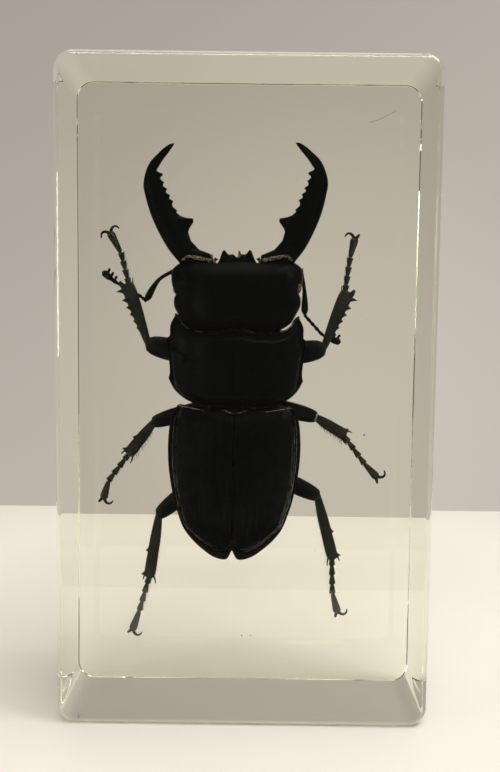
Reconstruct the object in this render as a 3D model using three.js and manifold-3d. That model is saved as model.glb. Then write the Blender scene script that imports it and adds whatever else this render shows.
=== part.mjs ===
// A male stag beetle cast in a clear block that stands on its short end.
// Millimetres, +Z up. The beetle's back faces -Y. The origin is the middle of the block's foot.
import * as THREE from 'three';
import { mergeVertices } from 'three/addons/utils/BufferGeometryUtils.js';
import Module from 'manifold-3d';

const wasm = await Module();
wasm.setup();
const { clamp, degToRad, lerp } = THREE.MathUtils;

// The block, and the plane on which it is parted round the beetle
const BLOCK = { width: 62, depth: 30, height: 110, corner: 3.7, fillet: 1.2 };
const PARTING_Y = 1.5;
const PARTING_GAP = 0.3;
const CLEARANCE = 0.9;

// Where the beetle hangs in the block, how far it leans, and how its head sits on the neck
const WAIST = { x: -1.8, z: 52.8, lean: degToRad(0.68) };
const NECK = { x: 0.1, z: 13, turn: degToRad(1.6) };

// The hard plates: how far they stand over and under their rims, and the share of their length
// over which they fall away to the tail and to the nose
const RIM = 0.4;
const SEAM = 0.15;
const PLATE_GAP = 0.3;
const ELYTRA = { height: 5.6, shell: 0.9, tail: 0.42, nose: 0.15 };
const PRONOTUM = { height: 4.9, tail: 0.16, nose: 0.12 };
const HEAD = { height: 3.6, throat: 2.8, tail: 0.2, nose: 0.3 };
const TRUNK = { fill: 0.9, tail: 0.5, nose: 0.2 };
const BELLY = { depth: 3.6, tail: 0.35, nose: 0.2 };
const DOME = { squareness: 2.6, roundness: 0.6, noseDrop: 0.2 };

// Outlines in the beetle's frame, which starts at the waist. A width is half a plate's width, from
// the hind end of its side (0) to the front end (1). A hind or front edge runs from the middle (0)
// to the side (1).
const ELYTRA_WIDTH = [
  [0, 9.3], [0.15, 10.2], [0.3, 10.85], [0.45, 11.3], [0.6, 11.5], [0.75, 11.45], [0.9, 11.1], [1, 10.3],
];
const ELYTRA_HIND = [
  [0, -25.7], [0.08, -27], [0.2, -27.1], [0.36, -26.6], [0.52, -25.6], [0.72, -24], [0.9, -22], [1, -20],
];
const ELYTRA_FRONT = [[0, -1.4], [0.2, -0.7], [0.5, -0.4], [0.9, 0.1], [1, -0.6]];
const PRONOTUM_WIDTH = [
  [0, 11.6], [0.12, 11.4], [0.4, 11.7], [0.62, 11.95], [0.68, 11.5], [0.85, 11.4], [1, 10.6],
];
const PRONOTUM_HIND = [[0, 0], [0.5, 0.15], [0.72, 0.9], [0.9, 2.5], [1, 4.6]];
const PRONOTUM_FRONT = [[0, 13.1], [0.33, 12.5], [0.57, 12.4], [0.78, 12.9], [0.9, 13.9], [1, 15.5]];
const SCUTELLUM = [[-1.7, -0.36], [0, -0.85], [1.7, -0.36]];
const STALK = [[-1.2, -0.45], [-1.2, -3], [1.2, -3], [1.2, -0.45]];
const TAIL_MIDDLE = 0.3;

// Outlines in the head's frame, which starts at the neck
const HEAD_WIDTH = [[0, 9.2], [0.15, 10.1], [0.3, 10.8], [0.5, 10.8], [0.72, 11.2], [0.9, 11], [1, 9.8]];
const HEAD_HIND = [[0, 0.5], [0.4, -0.1], [0.7, 0], [0.88, 0.6], [1, 1.4]];
const HEAD_FRONT = [[0, 11.8], [0.45, 11.6], [0.8, 11.9], [1, 11.6]];
const LIP = [
  [-3.6, 11], [-3, 12.3], [-2.3, 13.8], [-0.7, 13.2], [0, 12.7], [0.7, 13.2], [2.3, 13.8], [3, 12.3],
  [3.6, 11],
];
const LIP_DEPTH = 1.6;
const EYE = { at: [10.5, 0.2, 7.2], size: [0.9, 1.1, 1.5] };

// The right mandible in the head's frame: outer edge, hook, saw of small teeth, great tooth and root
const JAW = { depth: 3.6, tipShare: 0.4 };
const JAW_OUTER = [
  [9.9, 12], [11.7, 14.1], [13.2, 16.9], [14.4, 19.8], [15.2, 22.8], [15.5, 25.4], [14.5, 28.4],
  [12.6, 30.3], [10.3, 31.8],
];
const JAW_HOOK = [[12.2, 28.9], [13.4, 26.9]];
const SAW_TEETH = [[12.5, 26.3], [12.1, 24.9], [11.7, 23.7], [11.3, 22.7], [10.8, 21.6], [10.4, 20.5]];
const SAW_NOTCH = { x: 0.5, z: -0.7 };
const GREAT_TOOTH = [[9.3, 19.2], [7.5, 19.2], [7.6, 18.7], [8.4, 17.4]];
const JAW_ROOT = [[8.1, 15.7], [6.8, 14.3], [4.6, 13.1]];

// Where each leg bends, as x and z in the beetle's frame, and how deep each bend lies
const LEGS = {
  front_left: {
    root: [-4.5, 7.8], knee: [-15.5, 10.4], ankle: [-19, 20.6], foot: [-20.4, 26], toe: [-22.3, 29.4],
  },
  front_right: {
    root: [4.5, 8.2], knee: [15.2, 10.3], ankle: [18.7, 20.1], foot: [19.3, 26.1], toe: [20, 29.4],
  },
  middle_left: {
    root: [-4.5, -0.4], knee: [-14.3, -3.4], ankle: [-18.6, -9.1], foot: [-22.1, -13.9], toe: [-23, -17.1],
  },
  middle_right: {
    root: [4.5, 0.4], knee: [14.2, -1.8], ankle: [19.4, -4.9], foot: [23, -9.8], toe: [25.3, -12.2],
  },
  hind_left: {
    root: [-4.2, -12.4], knee: [-13.1, -19.8], ankle: [-14.6, -31], foot: [-16.3, -37.2], toe: [-17.5, -40.8],
  },
  hind_right: {
    root: [4.2, -11.4], knee: [14.9, -15.8], ankle: [17.9, -26.9], foot: [18.1, -33.3], toe: [19.1, -36.7],
  },
};
const LEG_Y = { root: 5.9, knee: 2.4, ankle: 2.5, foot: 2.5, toe: 2.3 };
const FLATNESS = 0.65;

// Stations along a limb: how far along, and half the width there
const FEMUR = [[0, 1.1], [0.3, 1.5], [0.7, 1.6], [0.93, 1.2], [1.02, 0.7]];
const TIBIA = [[-0.05, 0.5], [0.06, 0.75], [0.5, 0.85], [0.88, 1.15], [1, 0.8]];
const TARSUS_JOINT = [[0.05, 0.38], [0.8, 0.55]];
const TARSUS_JOINTS = 4;
const LAST_JOINT = [[0.05, 0.35], [0.7, 0.5], [1, 0.62]];
const JOINT_LAP = 0.3;

// Thorns and claws: how far along the shin, how long and how far they lean; a claw's points from the toe
const THORN_BASE = 0.45;
const POINT = 0.06;
const SAW = [[0.3, 1.05], [0.42, 1.17], [0.54, 1.29], [0.66, 1.41], [0.78, 1.53], [0.9, 2.1]];
const SAW_LEAN = 0.45;
const FRONT_SPURS = [{ at: 0.98, reach: 1.4, lean: 1.2 }, { at: 0.98, reach: -0.9, lean: 1.3 }];
const SPURS = [
  { at: 0.58, reach: 1.3, lean: 0.7 },
  { at: 0.95, reach: 1.6, lean: 0.9 },
  { at: 0.97, reach: -1, lean: 1.6 },
];
const CLAW = [[-0.3, 0.1], [0.5, 0.9], [0.35, 1.6], [-0.35, 1.8]];
const CLAW_BASE = 0.35;

// The antennae in the head's frame: a long first joint, then a bent whip that ends in the club
const ANTENNAE = {
  left: {
    scape: [[-11.1, 10.4], [-13.8, 8.8], [-16, 5.3]], whip: [[-17.4, 6.4], [-21, 8.4], [-23.6, 10.5]],
  },
  right: {
    scape: [[11.1, 10.7], [11.9, 7], [12, 2.7]], whip: [[13.6, 0.7], [15.2, -0.9], [17.5, -1.6]],
  },
};
const ANTENNA_Y = { root: 1.9, elbow: 3.3, whip: 4.1 };
const SCAPE_RADII = [0.34, 0.36, 0.52];
const WHIP_RADII = [0.3, 0.28, 0.34, 0.55];
const CLUB = { radius: 0.62, leaves: [0.25, 0.55, 0.85], leafBase: 0.4, reach: 1, lean: 0.2 };

// The pocket's walls round a limb's bends and a jaw
const LEG_REACH = [1.8, 2.2, 3.2, 1.6, 2.5];
const ANTENNA_REACH = [1.4, 1.4, 1.6, 1.6, 1.8, 2.2];
const LIMB_FRONT_Y = -0.4;
const LIP_POCKET = [[-4.6, 10], [4.6, 10], [3, 14.6], [-3, 14.6]];
const JAW_POCKET = [
  [3.4, 10.5], [10.4, 10.5], [12.8, 13.6], [15.4, 18.6], [16.6, 25.4], [15.6, 29], [10.8, 33], [9, 32.2],
  [11.8, 27.4], [11, 24.4], [9.4, 20.6], [6.6, 20.2], [7.2, 17.6], [6, 15.6], [3.4, 14.2],
];

const FINISHES = {
  resin: { color: 0xe9e6d8, roughness: 0.03, metalness: 0, transparent: true, opacity: 0.3 },
  shell: { color: 0x0b0c0c, roughness: 0.25, metalness: 0 },
  underside: { color: 0x14100d, roughness: 0.4, metalness: 0 },
  limb: { color: 0x17120c, roughness: 0.35, metalness: 0 },
};

// A value that runs smoothly through the given pairs
function smooth(pairs) {
  const stepsPerPair = 8;
  const curve = new THREE.SplineCurve(pairs.map((pair) => new THREE.Vector2(...pair)));
  const steps = curve.getPoints(pairs.length * stepsPerPair);
  return (t) => {
    const next = steps.findIndex((point) => point.x >= t);
    if (next < 1) return steps.at(next < 0 ? -1 : 0).y;
    const [a, b] = [steps[next - 1], steps[next]];
    return lerp(a.y, b.y, (t - a.x) / (b.x - a.x));
  };
}

function direction([ax, az], [bx, bz]) {
  const length = Math.hypot(bx - ax, bz - az);
  return [(bx - ax) / length, (bz - az) / length];
}

function between([ax, az], [bx, bz], t) {
  return [lerp(ax, bx, t), lerp(az, bz, t)];
}

// The point that lies so far along one direction and so far along another
function offset([x, z], [dx, dz], [nx, nz], along, out) {
  return [x + dx * along + nx * out, z + dz * along + nz * out];
}

// The normal to a course that points away from the beetle's middle line
function outward([dx, dz], side) {
  return Math.sign(-dz) === side ? [-dz, dx] : [dz, -dx];
}

// Geometry with shared corners, without the faces that have shrunk to a line
function weld(geometry) {
  const bare = new THREE.BufferGeometry();
  bare.setAttribute('position', geometry.attributes.position);
  bare.setIndex(geometry.index);
  const merged = mergeVertices(bare, 1e-4);
  const corners = merged.index.array;
  const kept = [];
  for (let i = 0; i < corners.length; i += 3) {
    const [a, b, c] = corners.slice(i, i + 3);
    if (a !== b && b !== c && c !== a) kept.push(a, b, c);
  }
  merged.setIndex(kept);
  return merged;
}

function solid(geometry) {
  const { attributes, index } = weld(geometry);
  const vertProperties = Float32Array.from(attributes.position.array);
  const triVerts = Uint32Array.from(index.array);
  return new wasm.Manifold(new wasm.Mesh({ numProp: 3, vertProperties, triVerts }));
}

function join(geometries) {
  return geometries.map(solid).reduce((whole, piece) => whole.add(piece));
}

function toGeometry(body) {
  const { vertProperties, triVerts } = body.getMesh();
  const geometry = new THREE.BufferGeometry();
  geometry.setAttribute('position', new THREE.BufferAttribute(vertProperties, 3));
  geometry.setIndex(new THREE.BufferAttribute(triVerts, 1));
  geometry.computeVertexNormals();
  return geometry;
}

// The same geometry on the other side of the beetle, with its faces turned back outwards
function mirrored(geometry) {
  const copy = weld(geometry).scale(-1, 1, 1);
  const corners = copy.index.array;
  for (let i = 0; i < corners.length; i += 3) {
    [corners[i], corners[i + 1]] = [corners[i + 1], corners[i]];
  }
  return copy;
}

// A plate is a box of small squares moved on to its form: u runs across, v from hind to front
function plate({ columns, rows, from = -1, inner = 0, width, hind, front, top, under }) {
  const grid = new THREE.BoxGeometry(1, 1, 1, columns, 1, rows);
  const places = grid.attributes.position;
  for (let i = 0; i < places.count; i += 1) {
    const u = Math.sin(lerp(from, 1, places.getX(i) + 0.5) * Math.PI / 2);
    const across = Math.abs(u);
    const v = places.getZ(i) + 0.5;
    const y = places.getY(i) < 0 ? top(across, v) : under(across, v);
    places.setXYZ(i, u * width(v) + inner * (1 - across), y, lerp(hind(across), front(across), v));
  }
  return grid;
}

// A quarter of a circle: from 0 at the end of a slope to 1 where it is over
function swell(t) {
  const s = clamp(t, 0, 1);
  return Math.sqrt(s * (2 - s));
}

// How far a plate stands over its rim, from 0 to 1: round across and falling at both ends
function dome(across, v, { tail, nose }) {
  const crown = (1 - across ** DOME.squareness) ** DOME.roundness;
  return crown * swell(v / tail) * (1 - DOME.noseDrop * (1 - swell((1 - v) / nose)));
}

// A limb is a cylinder whose rings are moved on to stations of place, half width and half depth
function limb(stations, sides = 6) {
  const tube = new THREE.CylinderGeometry(1, 1, 1, sides, stations.length - 1);
  const places = tube.attributes.position;
  for (let i = 0; i < places.count; i += 1) {
    const k = Math.round((places.getY(i) + 0.5) * (stations.length - 1));
    const { at: [x, y, z], width, depth } = stations[k];
    const [before, after] = [stations[Math.max(k - 1, 0)].at, (stations[k + 1] ?? stations[k]).at];
    const [dx, dz] = direction([before[0], before[2]], [after[0], after[2]]);
    const side = places.getX(i) * width;
    places.setXYZ(i, x - dz * side, y + places.getZ(i) * depth, z + dx * side);
  }
  return tube;
}

// A slab is an outline in X and Z with a thickness along Y
function slab(outline, near, far, { size = 0, thickness = 0, segments = 1, curve = 1 } = {}) {
  const isShape = outline instanceof THREE.Shape;
  const shape = isShape ? outline : new THREE.Shape(outline.map((point) => new THREE.Vector2(...point)));
  const geometry = new THREE.ExtrudeGeometry(shape, {
    depth: far - near - 2 * thickness,
    curveSegments: curve,
    bevelEnabled: size > 0,
    bevelSize: size,
    bevelOffset: -size,
    bevelThickness: thickness,
    bevelSegments: segments,
  });
  return geometry.rotateX(Math.PI / 2).translate(0, far - thickness, 0);
}

function blockGeometry() {
  const { width, depth, height, corner, fillet } = BLOCK;
  const quarter = Math.PI / 2;
  const side = width / 2 - corner;
  const outline = new THREE.Shape();
  outline.absarc(side, corner, corner, -quarter, 0);
  outline.absarc(side, height - corner, corner, 0, quarter);
  outline.absarc(-side, height - corner, corner, quarter, 2 * quarter);
  outline.absarc(-side, corner, corner, 2 * quarter, 3 * quarter);
  return slab(outline, -depth / 2, depth / 2, { size: fillet, thickness: fillet, segments: 2, curve: 4 });
}

// The right wing case, with its inner edge on the seam
function elytronGeometry() {
  return plate({
    columns: 7,
    rows: 14,
    from: 0,
    inner: SEAM,
    width: smooth(ELYTRA_WIDTH),
    hind: smooth(ELYTRA_HIND),
    front: smooth(ELYTRA_FRONT),
    top: (across, v) => -RIM / 2 - ELYTRA.height * dome(across, v, ELYTRA),
    under: (across, v) => RIM / 2 - (ELYTRA.height - ELYTRA.shell) * dome(across, v, ELYTRA),
  });
}

// The middle and hind parts of the trunk fill the wing cases, and end in the flat belly
function hindBodySolid() {
  const inset = ELYTRA.shell + PLATE_GAP;
  const [width, hind, front] = [ELYTRA_WIDTH, ELYTRA_HIND, ELYTRA_FRONT].map(smooth);
  const fill = (ELYTRA.height - inset) * TRUNK.fill;
  const rim = RIM / 2 + PLATE_GAP;
  const trunk = plate({
    columns: 10,
    rows: 9,
    width: (v) => width(v) - inset,
    hind: (across) => hind(Math.max(across, TAIL_MIDDLE)) + inset,
    front: (across) => Math.min(front(across), front(0.5)) - PLATE_GAP,
    top: (across, v) => rim - fill * dome(across, v, TRUNK),
    under: (across, v) => rim + RIM + BELLY.depth * dome(across, v, BELLY),
  });
  const scutellum = slab(SCUTELLUM, -ELYTRA.height * 0.78, 0);
  const stalk = slab(STALK, -ELYTRA.height / 2, BELLY.depth / 2);
  return join([trunk, scutellum, stalk]);
}

function pronotumGeometry() {
  return plate({
    columns: 12,
    rows: 11,
    width: smooth(PRONOTUM_WIDTH),
    hind: smooth(PRONOTUM_HIND),
    front: smooth(PRONOTUM_FRONT),
    top: (across, v) => -RIM / 2 - PRONOTUM.height * dome(across, v, PRONOTUM),
    under: (across, v) => RIM / 2 + BELLY.depth * dome(across, v, PRONOTUM),
  });
}

function eyeGeometry() {
  return new THREE.SphereGeometry(1, 8, 5).scale(...EYE.size).translate(...EYE.at);
}

// The head with its eyes and the two-lobed lip between the mandibles
function headSolid() {
  const skull = plate({
    columns: 12,
    rows: 8,
    width: smooth(HEAD_WIDTH),
    hind: smooth(HEAD_HIND),
    front: smooth(HEAD_FRONT),
    top: (across, v) => -RIM - HEAD.height * dome(across, v, HEAD),
    under: (across, v) => RIM + HEAD.throat * dome(across, v, HEAD),
  });
  const lip = slab(LIP, -LIP_DEPTH / 2, LIP_DEPTH / 2, { size: 0.25, thickness: 0.4, segments: 2 });
  return join([skull, lip, eyeGeometry(), mirrored(eyeGeometry())]);
}

function jawOutline() {
  const outline = new THREE.Shape();
  const sweep = (points) => outline.splineThru(points.map((point) => new THREE.Vector2(...point)));
  outline.moveTo(...JAW_OUTER[0]);
  sweep(JAW_OUTER.slice(1));
  sweep(JAW_HOOK);
  for (const [x, z] of SAW_TEETH) {
    outline.lineTo(x, z);
    outline.lineTo(x + SAW_NOTCH.x, z + SAW_NOTCH.z);
  }
  for (const point of GREAT_TOOTH) outline.lineTo(...point);
  sweep(JAW_ROOT);
  return outline;
}

// The right mandible, a flat bar that thins towards its hook
function jawGeometry() {
  const bevel = { size: 0.2, thickness: JAW.depth * 0.3, segments: 1, curve: 2 };
  const bar = slab(jawOutline(), -JAW.depth / 2, JAW.depth / 2, bevel);
  const [root, tip] = [JAW_OUTER[0][1], JAW_OUTER.at(-1)[1]];
  const places = bar.attributes.position;
  for (let i = 0; i < places.count; i += 1) {
    const along = clamp((places.getZ(i) - root) / (tip - root), 0, 1);
    places.setY(i, places.getY(i) * lerp(1, JAW.tipShare, along));
  }
  return bar;
}

// A thorn or a claw is a short limb that ends in a point
function thorn(points, y, radius) {
  const sides = 4;
  return limb(points.map(([x, z], k) => {
    const r = lerp(radius, POINT, k / (points.length - 1));
    return { at: [x, y, z], width: r, depth: r };
  }), sides);
}

// A straight stretch of a leg, as stations between two of its bends
function stretch(leg, from, to, profile, flatness) {
  return profile.map(([t, r]) => {
    const [x, z] = between(leg[from], leg[to], t);
    return { at: [x, lerp(LEG_Y[from], LEG_Y[to], t), z], width: r, depth: r * flatness };
  });
}

// Four short joints and a long one, each narrow where it starts and wide where it ends
function tarsusGeometry(leg) {
  const course = direction(leg.knee, leg.ankle);
  const start = offset(leg.ankle, course, course, -JOINT_LAP, 0);
  const row = Array.from({ length: TARSUS_JOINTS }, (_, k) => TARSUS_JOINT.map(([t, r]) => {
    const [x, z] = between(start, leg.foot, (k + t) / TARSUS_JOINTS);
    return { at: [x, LEG_Y.foot, z], width: r, depth: r };
  }));
  const sides = 5;
  return limb([...row.flat(), ...stretch(leg, 'foot', 'toe', LAST_JOINT, 1)], sides);
}

// The pair of hooked claws at the end of a foot
function clawGeometries({ foot, toe }) {
  const course = direction(foot, toe);
  return [-1, 1].map((side) => {
    const normal = [-course[1] * side, course[0] * side];
    const points = CLAW.map(([along, out]) => offset(toe, course, normal, along, out));
    return thorn(points, LEG_Y.toe, CLAW_BASE);
  });
}

// Thorns along the shin: a saw of growing teeth on a front leg, a few spurs on the others
function thornGeometries(name, { knee, ankle }) {
  const course = direction(knee, ankle);
  const outer = outward(course, Math.sign(knee[0]));
  const saw = SAW.map(([at, reach]) => ({ at, reach, lean: SAW_LEAN }));
  const spurs = name.startsWith('front') ? [...saw, ...FRONT_SPURS] : SPURS;
  return spurs.map(({ at, reach, lean }) => {
    const base = offset(between(knee, ankle, at), course, outer, 0, Math.sign(reach) * 0.2);
    return thorn([base, offset(base, course, outer, lean, reach)], LEG_Y.ankle, THORN_BASE);
  });
}

function legSolid(name, leg) {
  const femur = limb(stretch(leg, 'root', 'knee', FEMUR, FLATNESS));
  const tibia = limb(stretch(leg, 'knee', 'ankle', TIBIA, FLATNESS));
  return join([femur, tibia, tarsusGeometry(leg), ...clawGeometries(leg), ...thornGeometries(name, leg)]);
}

function antennaLimb(points, depths, radii) {
  const sides = 5;
  const stations = points.map(([x, z], k) => ({ at: [x, depths[k], z], width: radii[k], depth: radii[k] }));
  return limb(stations, sides);
}

// A long first joint, a bent whip and a club with short leaves on its inner side
function antennaSolid({ scape, whip }) {
  const { root, elbow, whip: deep } = ANTENNA_Y;
  const course = direction(...scape.slice(-2));
  const bend = offset(scape.at(-1), course, course, -JOINT_LAP, 0);
  const first = antennaLimb(scape, [root, (root + elbow) / 2, elbow], SCAPE_RADII);
  const second = antennaLimb([bend, ...whip], [elbow, deep, deep, deep], WHIP_RADII);
  const [base, tip] = whip.slice(-2);
  const along = direction(base, tip);
  const inner = [-along[1] * Math.sign(tip[0]), along[0] * Math.sign(tip[0])];
  const leaves = CLUB.leaves.map((t) => {
    const foot = between(base, tip, t);
    return thorn([foot, offset(foot, along, inner, CLUB.lean, CLUB.reach)], deep, CLUB.leafBase);
  });
  const club = new THREE.SphereGeometry(CLUB.radius, 6, 4).translate(tip[0], deep, tip[1]);
  return join([first, second, club, ...leaves]);
}

// A channel runs straight from point to point, as wide as the reach at both ends of each stretch
function channel(points, reach, near, far) {
  return points.slice(1).map((end, k) => {
    const start = points[k];
    const course = direction(start, end);
    const normal = [course[1], -course[0]];
    const corner = (point, r, along, out) => offset(point, course, normal, along * r / 2, out * r);
    return slab([
      corner(start, reach[k], -1, 1),
      corner(end, reach[k + 1], 1, 1),
      corner(end, reach[k + 1], 1, -1),
      corner(start, reach[k], -1, -1),
    ], near, far);
  });
}

// The outline round a plate, grown by the pocket's clearance
function grownOutline(widths, hinds, fronts) {
  const [width, hind, front] = [widths, hinds, fronts].map(smooth);
  const ends = { 0: -CLEARANCE / 2, 1: CLEARANCE };
  const right = [0, 0.3, 0.65, 0.9, 1].map((v) => [
    width(v) + CLEARANCE,
    lerp(hind(1), front(1), v) + (ends[v] ?? 0),
  ]);
  const ahead = [0.9, 0.4, -0.4, -0.9].map((u) => [u * width(1), front(Math.abs(u)) + CLEARANCE]);
  const behind = [-0.7, -0.2, 0.2, 0.7].map((u) => [u * width(0), hind(Math.abs(u)) - CLEARANCE]);
  return [...right, ...ahead, ...right.map(([x, z]) => [-x, z]).reverse(), ...behind];
}

// The hollow that the beetle lies in, open on the parting plane
function pocketSolid(beetleMatrix, headMatrix) {
  const limbDeep = LEG_Y.root + 2 * CLEARANCE;
  const bellyDeep = BELLY.depth + 2 * CLEARANCE;
  const jawReach = JAW.depth / 2 + CLEARANCE;
  const jaw = slab(JAW_POCKET, -jawReach, jawReach);
  const elytra = grownOutline(ELYTRA_WIDTH, ELYTRA_HIND, ELYTRA_FRONT);
  const pronotum = grownOutline(PRONOTUM_WIDTH, PRONOTUM_HIND, PRONOTUM_FRONT);
  const skull = grownOutline(HEAD_WIDTH, HEAD_HIND, HEAD_FRONT);
  const trunk = [
    slab(elytra, -ELYTRA.height - CLEARANCE, bellyDeep),
    slab(pronotum, -PRONOTUM.height - CLEARANCE, bellyDeep),
    ...Object.values(LEGS).flatMap(({ root, knee, ankle, foot, toe }) => (
      channel([root, knee, ankle, foot, toe], LEG_REACH, LIMB_FRONT_Y, limbDeep))),
  ];
  const head = [
    slab(skull, -HEAD.height - RIM - CLEARANCE, bellyDeep),
    slab(LIP_POCKET, -LIP_DEPTH, LIP_DEPTH + RIM),
    jaw,
    mirrored(jaw),
    ...Object.values(ANTENNAE).flatMap(({ scape, whip }) => (
      channel([...scape, ...whip], ANTENNA_REACH, LIMB_FRONT_Y, ANTENNA_Y.whip + CLEARANCE))),
  ];
  trunk.forEach((geometry) => geometry.applyMatrix4(beetleMatrix));
  head.forEach((geometry) => geometry.applyMatrix4(headMatrix));
  return join([...trunk, ...head]);
}

// The part of the block on one side of the parting plane, less the pocket
function blockHalf(side, pocket) {
  const size = BLOCK.height * 2;
  const near = PARTING_Y + side * PARTING_GAP / 2;
  const keep = new THREE.BoxGeometry(size, size, size).translate(0, near + side * size / 2, 0);
  return solid(blockGeometry()).intersect(solid(keep)).subtract(pocket);
}

function addMesh(group, name, geometry, finish) {
  const mesh = new THREE.Mesh(geometry, new THREE.MeshStandardMaterial(finish));
  mesh.name = name;
  group.add(mesh);
}

function addBlock(group, beetle, head) {
  const pocket = pocketSolid(beetle.matrixWorld, head.matrixWorld);
  addMesh(group, 'resin_block_front', toGeometry(blockHalf(-1, pocket)), FINISHES.resin);
  addMesh(group, 'resin_block_back', toGeometry(blockHalf(1, pocket)), FINISHES.resin);
}

function addHead(group) {
  addMesh(group, 'head', toGeometry(headSolid()), FINISHES.shell);
  addMesh(group, 'mandible_right', weld(jawGeometry()), FINISHES.shell);
  addMesh(group, 'mandible_left', mirrored(jawGeometry()), FINISHES.shell);
  for (const [side, antenna] of Object.entries(ANTENNAE)) {
    addMesh(group, `antenna_${side}`, toGeometry(antennaSolid(antenna)), FINISHES.limb);
  }
}

function addTrunk(group) {
  addMesh(group, 'pronotum', weld(pronotumGeometry()), FINISHES.shell);
  addMesh(group, 'elytron_right', weld(elytronGeometry()), FINISHES.shell);
  addMesh(group, 'elytron_left', mirrored(elytronGeometry()), FINISHES.shell);
  addMesh(group, 'hind_body', toGeometry(hindBodySolid()), FINISHES.underside);
  for (const [name, leg] of Object.entries(LEGS)) {
    addMesh(group, `leg_${name}`, toGeometry(legSolid(name, leg)), FINISHES.limb);
  }
}

const specimen = new THREE.Group();
const beetle = new THREE.Group();
const head = new THREE.Group();
beetle.position.set(WAIST.x, 0, WAIST.z);
beetle.rotation.y = WAIST.lean;
head.position.set(NECK.x, 0, NECK.z);
head.rotation.y = -NECK.turn;
beetle.add(head);
specimen.add(beetle);
specimen.updateMatrixWorld(true);
addBlock(specimen, beetle, head);
addHead(head);
addTrunk(beetle);

export default specimen;
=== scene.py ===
"""A male stag beetle cast in a block of clear resin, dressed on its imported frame.

Sizes are millimetres. The beetle's frame starts at its waist, X to its right as seen, -Y out of its
back and Z towards its head. The head's frame starts at the neck. Pieces are put down in metres.
"""

from __future__ import annotations

import logging
import math
from collections.abc import Callable, Sequence
from dataclasses import dataclass, field
from enum import Enum
from functools import cached_property
from typing import ClassVar

import bmesh
import bpy
import numpy as np
from mathutils import Matrix, Vector


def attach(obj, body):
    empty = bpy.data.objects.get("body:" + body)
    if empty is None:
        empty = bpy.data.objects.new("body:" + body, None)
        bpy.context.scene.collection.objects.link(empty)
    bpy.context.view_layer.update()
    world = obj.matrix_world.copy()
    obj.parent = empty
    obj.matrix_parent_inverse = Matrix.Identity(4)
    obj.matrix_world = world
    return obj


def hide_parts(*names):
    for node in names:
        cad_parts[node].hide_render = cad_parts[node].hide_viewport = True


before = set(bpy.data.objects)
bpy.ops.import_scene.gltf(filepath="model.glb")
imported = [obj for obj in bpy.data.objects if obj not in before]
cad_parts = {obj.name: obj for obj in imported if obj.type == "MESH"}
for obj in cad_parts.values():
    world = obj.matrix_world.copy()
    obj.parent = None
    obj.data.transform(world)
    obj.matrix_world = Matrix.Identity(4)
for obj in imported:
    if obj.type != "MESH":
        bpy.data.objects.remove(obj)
log = logging.getLogger("stag_beetle")

Array = np.ndarray
Socket = bpy.types.NodeSocket
Pair = tuple[float, float]
Triple = tuple[float, float, float]

MM = 0.001
LEAN = math.radians(0.68)
HEAD_TURN = math.radians(1.6)
BLOCK_FRAME = Matrix.Scale(MM, 4)
BEETLE_FRAME = BLOCK_FRAME @ Matrix.Translation((-1.8, 0, 52.8)) @ Matrix.Rotation(LEAN, 4, "Y")
HEAD_FRAME = BEETLE_FRAME @ Matrix.Translation((0.1, 0, 13)) @ Matrix.Rotation(-HEAD_TURN, 4, "Y")
RIM = 0.4


class Side(Enum):
    """A side of the beetle as it is seen, with the sign of its X."""

    LEFT = -1
    RIGHT = 1

    @property
    def label(self) -> str:
        """The side as the nodes name it."""
        return self.name.lower()


class LegPair(Enum):
    """A pair of legs, by the name that its nodes carry."""

    FRONT = "front"
    MIDDLE = "middle"
    HIND = "hind"


class Slot(Enum):
    """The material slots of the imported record."""

    RESIN = "clear_resin"
    CUTICLE = "black_cuticle"
    LIMB = "limb_cuticle"
    UNDERSIDE = "underside_cuticle"


# Values that run along an edge


class Profile:
    """A value that runs smoothly through given pairs."""

    def __init__(self, *pairs: Pair) -> None:
        """Lays a smooth curve through the pairs.

        Args:
            pairs: Each a place and its value, in rising order.
        """
        t = np.linspace(0, 1, 12, endpoint=False)[:, None]
        ends = np.array([pairs[0], *pairs, pairs[-1]], float)
        runs = []
        for p0, p1, p2, p3 in zip(ends, ends[1:], ends[2:], ends[3:]):
            v0, v1 = (p2 - p0) / 2, (p3 - p1) / 2
            cubic, square = 2 * p1 - 2 * p2 + v0 + v1, 3 * p2 - 3 * p1 - 2 * v0 - v1
            runs.append(cubic * t**3 + square * t**2 + v0 * t + p1)
        dense = np.vstack([*runs, ends[-1:]])
        self.places, self.values = dense[:, 0], dense[:, 1]

    def __call__(self, place: Array | float) -> Array:
        """Gives the value at each place."""
        return np.interp(place, self.places, self.values)


def polyline(*pairs: Pair) -> Callable[[Array], Array]:
    """Gives a value that runs straight from pair to pair.

    Args:
        pairs: Each a place and its value, in rising order.

    Returns:
        A function that gives the value at each place.
    """
    places, values = np.array(pairs, float).T
    return lambda place: np.interp(place, places, values)


def lerp(a: Array | float, b: Array | float, t: Array | float) -> Array | float:
    """Gives the value that lies the share t of the way from a to b."""
    return a + (b - a) * t


def ease(t: Array | float) -> Array:
    """Rises smoothly from 0 to 1 as t does."""
    t = np.clip(t, 0, 1)
    return t * t * (3 - 2 * t)


def swell(t: Array | float) -> Array:
    """Rises as a quarter of a circle from 0 to 1 as t does."""
    t = np.clip(t, 0, 1)
    return np.sqrt(t * (2 - t))


def hump(t: Array | float, centre: float, spread: float) -> Array:
    """Gives a soft bump of height 1 about the centre."""
    return np.exp(-(((t - centre) / spread) ** 2))


def stop(left: Array, length: float) -> Array:
    """Gives the share of its thickness that a form keeps over the last length before its blunt end."""
    return np.sqrt(np.clip(left / length, 0, 1))


def spindle(count: int) -> Array:
    """Gives the thickness of a thin film that runs out at both ends."""
    return np.sqrt(np.sin(math.pi * np.linspace(0.02, 0.98, count)))


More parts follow.
